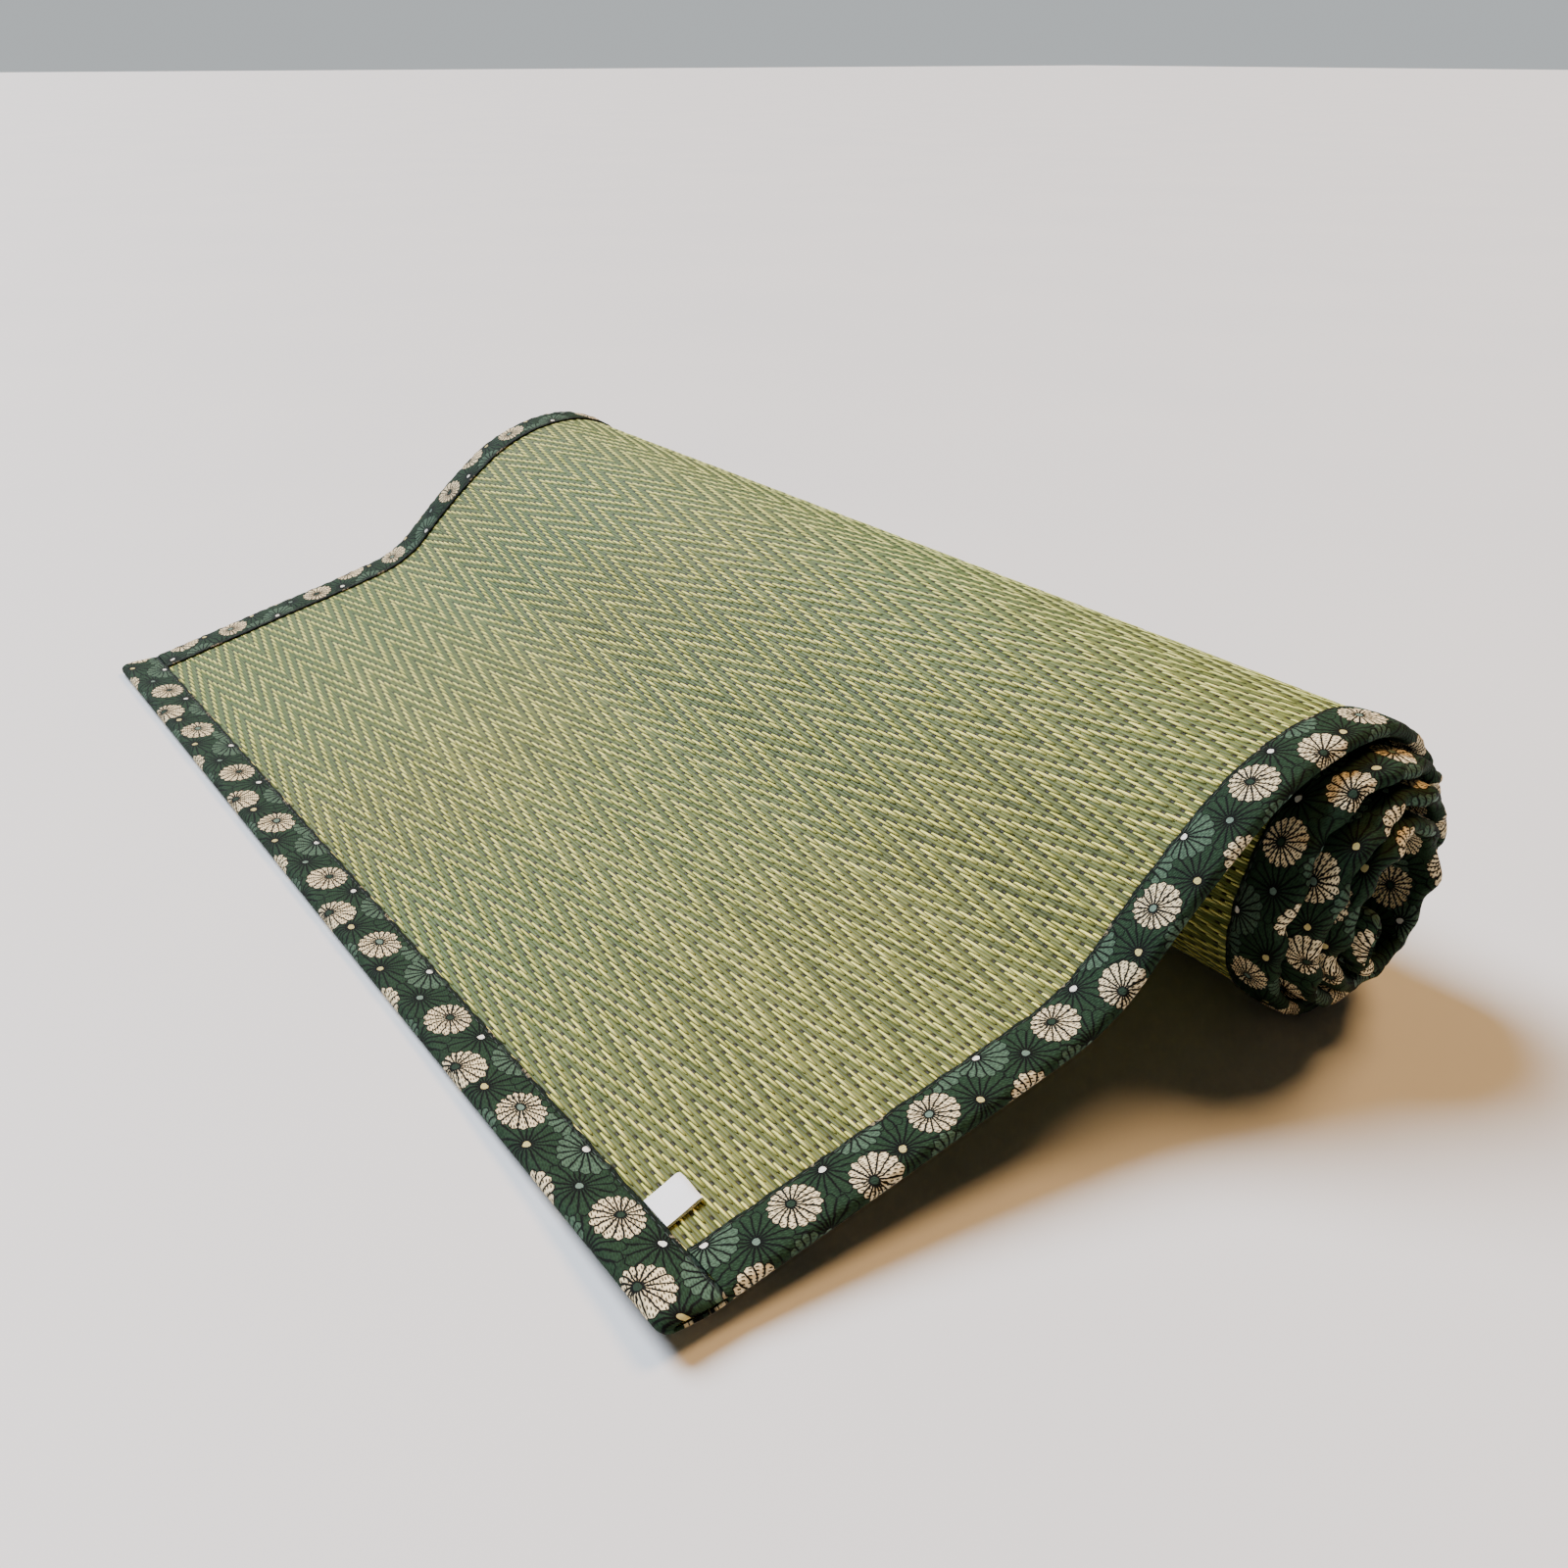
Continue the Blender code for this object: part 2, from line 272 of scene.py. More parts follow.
def new_material(name):
    """An empty node material, with its output and a Principled shader."""
    material = bpy.data.materials.new(name)
    material.use_nodes = True
    tree = material.node_tree
    return material, tree, tree.nodes["Principled BSDF"]


# %% [markdown]
# Rush is a smooth round stalk, dried to a yellow green, with a waxy skin that gives it a soft sheen. In the
# mat the stalks run across the width, 1.2 mm apart, and pass over two warp cords and under two. Each stalk
# starts one cord further than the last, for nine stalks, and then one cord back, which draws the zigzag.
# The same rule serves the shader, for the colour of each stalk, and the mesh, for the raised floats.

# %% The rule of the weave
RUSH_PITCH = 0.00121
WARP_PITCH = 0.0056
STALKS_PER_ARM = 9
CORDS_PER_REPEAT = 4
FLOAT_CORDS = 2


def cord_step(stalk):
    """How many cords along a stalk's first float starts: it climbs for nine stalks and falls for nine."""
    return STALKS_PER_ARM - np.abs(np.mod(stalk, 2 * STALKS_PER_ARM) - STALKS_PER_ARM)


# %% [markdown]
# Two numbers tell the shader all about a place on the weave. The phase runs along a stalk: a float starts
# at 0 and dips under the cords at 2, and the next one starts at 4. The other number is the height on the
# stalk's round section. Both come from the rule above, so the colours fit the raised floats exactly.

# %% Stalk, phase and round section
MM = 1000.0


def weave_numbers(tree, place):
    """Number of the stalk, phase along its floats, and height on its round section from 0 to 1."""
    along = add(tree, "Math", [place.outputs[0], 1 / RUSH_PITCH], "MULTIPLY")
    cords = add(tree, "Math", [place.outputs[1], 1 / WARP_PITCH], "MULTIPLY")
    stalk = add(tree, "Math", [along], "FLOOR")
    turn = add(tree, "Math", [stalk, 2.0 * STALKS_PER_ARM], "FLOORED_MODULO")
    arm = add(tree, "Math", [turn, float(STALKS_PER_ARM)], "SUBTRACT")
    step = add(tree, "Math", [arm], "ABSOLUTE")
    # cord_step is the arm's length less this step
    shifted = add(tree, "Math", [cords, step], "ADD")
    from_arm = add(tree, "Math", [shifted, -float(STALKS_PER_ARM)], "ADD")
    phase = add(tree, "Math", [from_arm, float(CORDS_PER_REPEAT)], "FLOORED_MODULO")
    across_stalk = add(tree, "Math", [along], "FRACT")
    centred = add(tree, "Math", [across_stalk, 0.5], "SUBTRACT")
    squared = add(tree, "Math", [centred, centred], "MULTIPLY")
    round_top = add(tree, "Math", [squared, -4.0, 1.0], "MULTIPLY_ADD")
    return stalk, phase, round_top


print("weave repeats every", round(2 * STALKS_PER_ARM * RUSH_PITCH * MM, 1), "mm along the mat")

# %% [markdown]
# Every stalk has its own shade between olive and straw, because each plant dries in its own way, and a slow
# noise changes the shade along it. Broad parts of the mat have kept more green, most of all on the left.

# %% Colour of the stalks between the floats
STALK_STOPS = (
    # shade, colour
    (0.28, "#434a1c"),
    (0.48, "#595f28"),
    (0.66, "#6f7435"),
    (0.86, "#898c42"),
)
BROAD_GREEN = "#4f6c3e"


def stalk_shade(tree, place, stalk):
    """A number of each stalk's own, between about 0.2 and 0.9, that drifts along it."""
    own = add(tree, "TexWhiteNoise", {"W": stalk}, noise_dimensions="1D")
    own_place = add(tree, "Math", [stalk, 7.31], "MULTIPLY")
    slow_place = add(tree, "Math", [place.outputs[1], 30.0], "MULTIPLY")
    drift_place = add(tree, "CombineXYZ", [own_place, slow_place])
    drift = add(tree, "TexNoise", {"Vector": drift_place, "Scale": 1.0, "Detail": 2.0})
    own_share = add(tree, "Math", [own, 0.35, 0.05], "MULTIPLY_ADD")
    return add(tree, "Math", [drift, 0.75, own_share], "MULTIPLY_ADD")


def open_colour(tree, cut, place, shade):
    """Colour of the stalks where no float lies."""
    ramp = add(tree, "ValToRGB", [shade])
    while len(ramp.color_ramp.elements) < len(STALK_STOPS):
        ramp.color_ramp.elements.new(0.5)
    for element, (position, code) in zip(ramp.color_ramp.elements, STALK_STOPS):
        element.position = position
        element.color = linear(code)
    broad = add(tree, "TexNoise", {"Vector": cut, "Scale": 4.5, "Detail": 1.0})
    leftwards = add(tree, "Math", [place.outputs[1], 0.75, broad], "MULTIPLY_ADD")
    green = add(tree, "MapRange", {"Value": leftwards, "From Min": 0.28, "From Max": 0.70, "To Max": 0.75})
    return add(tree, "Mix", {0: green, 6: ramp, 7: linear(BROAD_GREEN)}, data_type="RGBA").outputs[2]


# %% [markdown]
# A float starts in shade, where it comes up from under the cords, and a painted highlight makes it brightest
# towards its end, where it turns to the window and narrows to a point. There the stalk dips under again,
# and leaves a small hole that painted shade darkens. The eye gets a dry, silky surface with fine bright
# strokes in rows.

# %% Rush material
# A float's colour where its painted highlight lies, from a dull stalk to a pale one
FLOAT_HIGHLIGHT_COLOURS = ("#c6ca66", "#fffb96")
# Painted shade on a stalk just after it goes under the cords
DIP_SHADE_COLOUR = "#3b3c1c"
# Colour of the painted shade in those holes
HOLE_SHADE_COLOUR = "#1c1705"
SEAM_COLOUR = "#3f4122"


def rush_material(name, hole_shade_strength):
    """Dried rush. The second argument says how much painted shade darkens the holes at the floats' ends."""
    material, tree, shader = new_material(name)
    cut = add(tree, "UVMap", uv_map="cut").outputs[0]
    place = add(tree, "SeparateXYZ", [cut])
    stalk, phase, round_top = weave_numbers(tree, place)
    shade = stalk_shade(tree, place, stalk)
    ground = open_colour(tree, cut, place, shade)
    # Painted shade: the stalk is darkest just after it goes under the cords, where it lies low between its
    # neighbours
    under = {"Value": phase, "From Min": 2.2, "From Max": 3.0, "To Min": 0.42, "To Max": 0.0}
    dip_shade = add(tree, "MapRange", under, interpolation_type="SMOOTHSTEP")
    is_down = add(tree, "Math", [phase, 2.0], "GREATER_THAN")
    painted_dip_shade = add(tree, "Math", [dip_shade, is_down], "MULTIPLY")
    shaded = add(tree, "Mix", {0: painted_dip_shade, 6: ground, 7: linear(DIP_SHADE_COLOUR)}, data_type="RGBA")
    # Painted highlight: the float's bright stretch, which narrows to a point at its end
    highlight_rise_range = {"Value": phase, "From Min": 0.15, "From Max": 1.25}
    highlight_rise = add(tree, "MapRange", highlight_rise_range, interpolation_type="SMOOTHSTEP")
    end_range = {"Value": phase, "From Min": 1.90, "From Max": 2.0, "To Min": 1.0, "To Max": 0.0}
    ended = add(tree, "Math", [highlight_rise, add(tree, "MapRange", end_range)], "MULTIPLY")
    narrowing = {"Value": phase, "From Min": 1.2, "From Max": 2.0, "To Min": 0.15, "To Max": 0.75}
    inside = add(tree, "Math", [round_top, add(tree, "MapRange", narrowing)], "SUBTRACT")
    highlight_core = add(tree, "MapRange", {"Value": inside, "From Max": 0.3}, interpolation_type="SMOOTHSTEP")
    bright = add(tree, "Math", [ended, highlight_core], "MULTIPLY")
    own_bright = add(tree, "MapRange", {"Value": shade, "From Min": 0.3, "From Max": 0.75})
    float_tint = {0: own_bright, 6: linear(FLOAT_HIGHLIGHT_COLOURS[0]), 7: linear(FLOAT_HIGHLIGHT_COLOURS[1])}
    float_colour = add(tree, "Mix", float_tint, data_type="RGBA")
    lit = {0: bright, 6: shaded.outputs[2], 7: float_colour.outputs[2]}
    with_float = add(tree, "Mix", lit, data_type="RGBA")
    # Painted shade in the small holes where a stalk dips under
    hole_from = {"Value": phase, "From Min": 1.95, "From Max": 2.03}
    hole_start = add(tree, "MapRange", hole_from, interpolation_type="SMOOTHSTEP")
    hole_to = {"Value": phase, "From Min": 2.20, "From Max": 2.50, "To Min": 1.0, "To Max": 0.0}
    hole_end = add(tree, "MapRange", hole_to, interpolation_type="SMOOTHSTEP")
    hole_long = add(tree, "Math", [hole_start, hole_end], "MULTIPLY")
    hole_wide = add(tree, "MapRange", {"Value": round_top, "From Max": 0.4})
    hole = add(tree, "Math", [hole_long, hole_wide], "MULTIPLY")
    painted_hole_shade = add(tree, "Math", [hole, hole_shade_strength], "MULTIPLY")
    hole_shaded = {0: painted_hole_shade, 6: with_float.outputs[2], 7: linear(HOLE_SHADE_COLOUR)}
    with_hole_shade = add(tree, "Mix", hole_shaded, data_type="RGBA")
    # The seam between two stalks is in shade
    seam = add(tree, "MapRange", {"Value": round_top, "From Max": 0.45, "To Min": 0.75, "To Max": 0.0})
    seamed = {0: seam, 6: with_hole_shade.outputs[2], 7: linear(SEAM_COLOUR)}
    with_seam = add(tree, "Mix", seamed, data_type="RGBA")
    tree.links.new(with_seam.outputs[2], shader.inputs["Base Color"])
    # Height of the weave, and the fine grain along the stalk's skin
    lifted = add(tree, "Math", [ended, 0.5, 0.5], "MULTIPLY_ADD")
    body = add(tree, "Math", [round_top, lifted], "MULTIPLY")
    sunk = add(tree, "Math", [hole, -0.9, body], "MULTIPLY_ADD")
    grain_place = add(tree, "Mapping", {"Vector": cut, "Scale": (6000.0, 160.0, 1.0)})
    grain = add(tree, "TexNoise", {"Vector": grain_place, "Scale": 1.0, "Detail": 1.0})
    grained = add(tree, "Math", [grain, 0.15, sunk], "MULTIPLY_ADD")
    bump = add(tree, "Bump", {"Height": grained, "Strength": 0.8, "Distance": 0.00045})
    tree.links.new(bump.outputs[0], shader.inputs["Normal"])
    rough = add(tree, "MapRange", {"Value": grain, "To Min": 0.38, "To Max": 0.58})
    tree.links.new(rough.outputs[0], shader.inputs["Roughness"])
    shader.inputs["IOR"].default_value = 1.45
    shader.inputs["Specular IOR Level"].default_value = 0.2
    return material


rush_ground = rush_material("dried_rush_ground", 0.95)
rush_stalk = rush_material("dried_rush_float", 0.0)
print("rush materials:", rush_ground.name, rush_stalk.name)

# %% [markdown]
# The sheet is one piece of cloth that keeps its width and length, so it is laid out flat as a grid, with
# its flat place kept as its UV map in metres, and then every vertex is moved to its place on the roll.
# The weave can't slide or stretch in this way. Solidify gives the sheet its thickness.

# %% Cloth helpers
# Edges that bend by more than this many degrees stay sharp
SMOOTH_BELOW = 50


def lay_out(name, lengths, across):
    """A flat grid with a row of vertices for each length. Returns it and each vertex's row and column."""
    bpy.ops.object.select_all(action="DESELECT")
    rows, columns = len(lengths) - 1, across - 1
    bpy.ops.mesh.primitive_grid_add(x_subdivisions=rows, y_subdivisions=columns, size=1.0)
    piece = bpy.context.active_object
    piece.name = piece.data.name = name
    flat = np.empty(len(piece.data.vertices) * 3)
    piece.data.vertices.foreach_get("co", flat)
    flat = flat.reshape(-1, 3)
    row = np.rint((flat[:, 0] + 0.5) * rows).astype(int)
    column = np.rint((flat[:, 1] + 0.5) * columns).astype(int)
    return piece, row, column


def keep_flat_place(mesh, flat):
    """Keeps each vertex's place on the flat sheet, in metres, as the UV map that the shaders read."""
    corner = np.empty(len(mesh.loops), dtype=np.int64)
    mesh.loops.foreach_get("vertex_index", corner)
    layer = mesh.uv_layers.new(name="cut")
    layer.uv.foreach_set("vector", np.ascontiguousarray(flat[corner], dtype=np.float32).ravel())


def face_outwards(piece):
    """Turns every face of a piece outwards."""
    bpy.context.view_layer.objects.active = piece
    bpy.ops.object.select_all(action="DESELECT")
    piece.select_set(True)
    bpy.ops.object.mode_set(mode="EDIT")
    bpy.ops.mesh.select_all(action="SELECT")
    bpy.ops.mesh.normals_make_consistent(inside=False)
    bpy.ops.object.mode_set(mode="OBJECT")


def place_cloth(piece, points, flat, thickness, material):
    """Moves the vertices to their places, keeps the flat place as the UV map and gives the thickness."""
    mesh = piece.data
    # Cloth that meets the floor lies flat on it
    points[:, 2] = np.maximum(points[:, 2], thickness / 2)
    mesh.vertices.foreach_set("co", np.ascontiguousarray(points, dtype=np.float32).ravel())
    while mesh.uv_layers:
        mesh.uv_layers.remove(mesh.uv_layers[0])
    keep_flat_place(mesh, flat)
    mesh.update()
    solidify = piece.modifiers.new("cloth thickness", "SOLIDIFY")
    solidify.thickness = thickness
    solidify.offset = 0.0
    solidify.use_even_offset = True
    bpy.context.view_layer.objects.active = piece
    bpy.ops.object.modifier_apply(modifier=solidify.name)
    face_outwards(piece)
    bpy.ops.object.shade_smooth_by_angle(angle=radians(SMOOTH_BELOW))
    mesh.materials.clear()
    mesh.materials.append(material)
    mesh.calc_loop_triangles()
    print(piece.name, len(mesh.loop_triangles), "triangles")
    return piece


# %% [markdown]
# The ground of the weave is a sheet of 2 mm. Its rows are 3.5 mm apart, close enough for the tight turns
# of the roll, and its columns 12 mm, because across the width the mat hardly bends.

# %% Rush sheet
RUSH_INSET = 0.0033
GROUND_THICKNESS = 0.0021
ROW_STEP = 0.0035
COLUMN_STEP = 0.012


def make_rush_sheet():
    """The ground of the weave, which ends inside the fold of the borders."""
    edge = MAT_WIDTH / 2 - RUSH_INSET
    rows = round((SHEET_LENGTH - 2 * RUSH_INSET) / ROW_STEP)
    lengths = np.linspace(RUSH_INSET, SHEET_LENGTH - RUSH_INSET, rows + 1)
    places = np.linspace(-edge, edge, round(2 * edge / COLUMN_STEP) + 1)
    piece, row, column = lay_out("woven_rush_ground", lengths, len(places))
    s, v = lengths[row], places[column]
    points = sheet_points(s, v, 0.0)
    return place_cloth(piece, points, np.column_stack([s, v]), GROUND_THICKNESS, rush_ground)


rush_sheet = make_rush_sheet()
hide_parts("rush_sheet")
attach(rush_sheet, "root")

# %% [markdown]
# Where a stalk passes over two cords it stands up as a float, 11 mm long and rounded, its ends drawn down.
# The floats make the zigzag, so they are real shapes wherever the outer face shows. One float is modelled
# from a small sphere, drawn out along the stalk, and its copies are joined into one mesh for each stretch.
# Further in on the roll, where no one sees them, the shader's relief is enough.

# %% One float, as it lies along a stalk
FLOAT_WIDTH = 0.00124
FLOAT_HEIGHT = 0.00046
FLOAT_SECTIONS = (
    # share of its length, share of its width
    (0.16, 0.84),
    (0.58, 1.00),
    (0.90, 0.60),
)
# As shares of the float's height: how far the tips are drawn down, and how much a section rises for each
# part of the width that it has over the middling one
TIP_DROP = 0.3
RISE = 0.45
MIDDLING_WIDTH = 0.62


def model_ball():
    """Vertices and faces of a small sphere with its poles along y, for floats and stitches."""
    bpy.ops.object.select_all(action="DESELECT")
    bpy.ops.mesh.primitive_uv_sphere_add(segments=6, ring_count=4, radius=1.0, rotation=(-pi / 2, 0.0, 0.0))
    stalk = bpy.context.active_object
    bpy.ops.object.transform_apply(location=False, rotation=True, scale=False)
    vertices = np.array([vertex.co[:] for vertex in stalk.data.vertices])
    faces = [list(face.vertices) for face in stalk.data.polygons]
    bpy.data.objects.remove(stalk)
    return vertices, faces


def float_template():
    """The sphere's rings moved to the float's sections, and its tips drawn down into the weave."""
    ball, faces = model_ball()
    shaped = np.zeros_like(ball)
    rings = sorted(set(np.round(ball[:, 1], 3)))
    for ring_y in rings:
        ring = np.abs(ball[:, 1] - ring_y) < 0.01
        if abs(ring_y) > 0.99:
            shaped[ring, 1] = float(ring_y > 0)
            shaped[ring, 2] = -TIP_DROP * FLOAT_HEIGHT
            continue
        share, width = FLOAT_SECTIONS[rings.index(ring_y) - 1]
        radius = np.hypot(ball[ring, 0], ball[ring, 2]).max()
        shaped[ring, 0] = ball[ring, 0] / radius * width * FLOAT_WIDTH / 2
        shaped[ring, 1] = share
        shaped[ring, 2] = ball[ring, 2] / radius * width * FLOAT_HEIGHT / 2
        shaped[ring, 2] += (width - MIDDLING_WIDTH) * RISE * FLOAT_HEIGHT
    return shaped, faces


FLOAT_SHAPE, FLOAT_FACES = float_template()
print("one float:", len(FLOAT_SHAPE), "vertices,", len(FLOAT_FACES), "faces")

# %% [markdown]
# The floats of a stretch are laid out flat by the rule of the weave and cut off at the borders, and each is
# a little higher, lower or wider than the next, as no two stalks are alike. They are written into one mesh
# from plain lists, because joining thousands of objects is slow.

# %% Floats over a stretch of the sheet
FLOAT_SEAT = GROUND_THICKNESS / 2 + 0.00006
LIP = MAT_WIDTH / 2 - BORDER_WIDTH
# A float that the border cuts shorter than this share of its length is left out
SHORTEST_FLOAT = 0.3
# No two floats are quite the same: ranges of their height, their place and their width
LIFT_RANGE = (-0.00008, 0.00010)
LEAN_RANGE = (-0.00010, 0.00010)
WIDTH_RANGE = (0.90, 1.12)
# In the UV map a float is narrower than it is, so that it keeps to its own stalk and has one shade
UV_WIDTH_SHARE = 0.75
FIRST_SEED = 11


def join_copies(name, points, shape, faces, material):
    """One piece made of many copies of a small shape, from the points of all copies in a row."""
    starts = range(0, len(points), len(shape))
    joined = [[corner + start for corner in face] for start in starts for face in faces]
    mesh = bpy.data.meshes.new(name)
    mesh.from_pydata(points.tolist(), [], joined)
    mesh.shade_smooth()
    mesh.materials.append(material)
    piece = bpy.data.objects.new(name, mesh)
    bpy.context.scene.collection.objects.link(piece)
    return piece


def make_floats(name, start, end, seed):
    """Joined floats between two lengths along the sheet, from border to border."""
    stalks = np.arange(int(start / RUSH_PITCH) + 1, int(end / RUSH_PITCH))
    reach = int(LIP / (CORDS_PER_REPEAT * WARP_PITCH)) + STALKS_PER_ARM
    counts = np.arange(-reach, reach + 1)
    stalk, count = (grid.ravel() for grid in np.meshgrid(stalks, counts, indexing="ij"))
    # A float starts where the phase in the shader is 0: cords and step add up to a whole repeat
    begin = (count * CORDS_PER_REPEAT + cord_step(stalk)) * WARP_PITCH
    long = FLOAT_CORDS * WARP_PITCH
    low, high = np.maximum(begin, -LIP), np.minimum(begin + long, LIP)
    kept = high - low > SHORTEST_FLOAT * long
    stalk, low, high = stalk[kept], low[kept], high[kept]
    random = np.random.default_rng(seed)
    lift = random.uniform(*LIFT_RANGE, len(stalk))
    lean = random.uniform(*LEAN_RANGE, len(stalk))
    wide = random.uniform(*WIDTH_RANGE, len(stalk))
    shape = FLOAT_SHAPE[None, :, :]
    middle = (stalk[:, None] + 0.5) * RUSH_PITCH
    s = middle + shape[..., 0] * wide[:, None] + lean[:, None]
    v = low[:, None] + (high - low)[:, None] * shape[..., 1]
    h = FLOAT_SEAT + lift[:, None] + shape[..., 2]
    points = sheet_points(s.ravel(), v.ravel(), h.ravel())
    piece = join_copies(name, points, FLOAT_SHAPE, FLOAT_FACES, rush_stalk)
    flat_s = middle + shape[..., 0] * UV_WIDTH_SHARE
    keep_flat_place(piece.data, np.column_stack([flat_s.ravel(), v.ravel()]))
    piece.data.update()
    piece.data.calc_loop_triangles()
    print(name, len(stalk), "floats,", len(piece.data.loop_triangles), "triangles")
    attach(piece, "root")
    return piece


FLOAT_STRETCHES = (
    # name, from, to
    ("rush_floats_front", BORDER_WIDTH, 0.165),
    ("rush_floats_crest", 0.165, 0.335),
    ("rush_floats_back", 0.335, 0.495),
    ("rush_floats_under", 0.495, 0.655),
)
rush_floats = [make_floats(*stretch, FIRST_SEED + k) for k, stretch in enumerate(FLOAT_STRETCHES)]

# %% [markdown]
# The border is a woven brocade tape: crowded chrysanthemums in cream, leaf green and grey green, each petal
# outlined in a green that is nearly black. A real jacquard repeats after some centimetres, so one repeat is
# charted as a short table of flowers. A node group looks at one flower, and gives a single number where
# the flower covers the cloth: its rank in the table, plus a share that grows from the petal's outline
# inwards. The largest number wins, so flowers overlap in the table's order, and one number is all that the
# renderer has to keep. Mixing the colours flower by flower would overflow its memory.

# %% One flower as a node group
REPEAT_ALONG = 103.7
REPEAT_ACROSS = 42.0
# How far in from its outline a petal is read, in mm, and the shares that petal and dot take
PETAL_DEPTH = 0.9
PETAL_SHARE = 0.6
DOT_SHARE = 0.8
DOT_RADIUS, RING_RADIUS = 1.2, 1.5
# The rim draws in by this share of the radius between two petals
NOTCH = 0.15
FLOWER_INPUTS = (
    ("Place", "Vector"), ("Centre", "Vector"), ("Lean", "Vector"),
    ("Radius in the Notch", "Float"), ("Lobe", "Float"), ("Petals per Radian", "Float"),
    ("Turn", "Float"), ("Rank", "Float"), ("Below", "Float"),
)


def flower_group():
    """A node group that lays one flower over the number below it. Its sizes are in mm."""
    tree = bpy.data.node_groups.new("chrysanthemum", "ShaderNodeTree")
    for name, kind in FLOWER_INPUTS:
        tree.interface.new_socket(name=name, in_out="INPUT", socket_type="NodeSocket" + kind)
    tree.interface.new_socket(name="Woven", in_out="OUTPUT", socket_type="NodeSocketFloat")
    given = add(tree, "NodeGroupInput").outputs
    from_centre = add(tree, "VectorMath", [given["Place"], given["Centre"]], "SUBTRACT")
    half = (REPEAT_ALONG / 2, REPEAT_ACROSS / 2, 0.0)
    repeat = [from_centre, half, tuple(-side for side in half)]
    offset = add(tree, "VectorMath", repeat, "WRAP")
    radius = add(tree, "VectorMath", [offset], "LENGTH").outputs["Value"]
    leaned = add(tree, "VectorMath", [offset, given["Lean"]], "DISTANCE")
    parts = add(tree, "SeparateXYZ", [offset])
    angle = add(tree, "Math", [parts.outputs[1], parts.outputs[0]], "ARCTAN2")
    petals = [angle, given["Petals per Radian"], given["Turn"]]
    counted = add(tree, "Math", petals, "MULTIPLY_ADD")
    # 0 on the line between two petals, 0.5 in the middle of a petal
    from_line = add(tree, "Math", [counted, 0.5], "PINGPONG")
    lobe = add(tree, "Math", [from_line], "SQRT")
    rim = [lobe, given["Lobe"], given["Radius in the Notch"]]
    rim_radius = add(tree, "Math", rim, "MULTIPLY_ADD")
    inside = add(tree, "Math", [rim_radius, leaned.outputs["Value"]], "SUBTRACT")
    covers = add(tree, "Math", [inside, -0.08], "GREATER_THAN")
    # Distances in mm from the line, the rim and the ring around the dot: the nearest of them counts
    arc = add(tree, "Math", [radius, given["Petals per Radian"]], "DIVIDE")
    line_mm = add(tree, "Math", [from_line, arc], "MULTIPLY")
    nearest = add(tree, "Math", [line_mm, inside], "MINIMUM")
    from_ring = add(tree, "Math", [radius, RING_RADIUS], "SUBTRACT")
    in_petal = add(tree, "Math", [nearest, from_ring], "MINIMUM")
    depth = add(tree, "Math", [in_petal, PETAL_SHARE / PETAL_DEPTH], "MULTIPLY")
    petal = add(tree, "Math", [depth, PETAL_SHARE], "MINIMUM")
    is_dot = add(tree, "Math", [radius, DOT_RADIUS], "LESS_THAN")
    dot = add(tree, "Math", [is_dot, DOT_SHARE], "MULTIPLY")
    share = add(tree, "Math", [petal, dot], "MAXIMUM")
    ranked = add(tree, "Math", [share, given["Rank"]], "ADD")
    own = add(tree, "Math", [ranked, covers], "MULTIPLY")
    woven = add(tree, "Math", [own, given["Below"]], "MAXIMUM")
    add(tree, "NodeGroupOutput", {"Woven": woven})
    return tree


CHRYSANTHEMUM = flower_group()
print("flower group:", len(CHRYSANTHEMUM.nodes), "nodes")

# %% [markdown]
# The chart: flowers from the lowest to the topmost. Places are in mm along the tape and in from the mat's
# outer edge. The greens lie below, the cream flowers on top, every 25 to 30 mm.

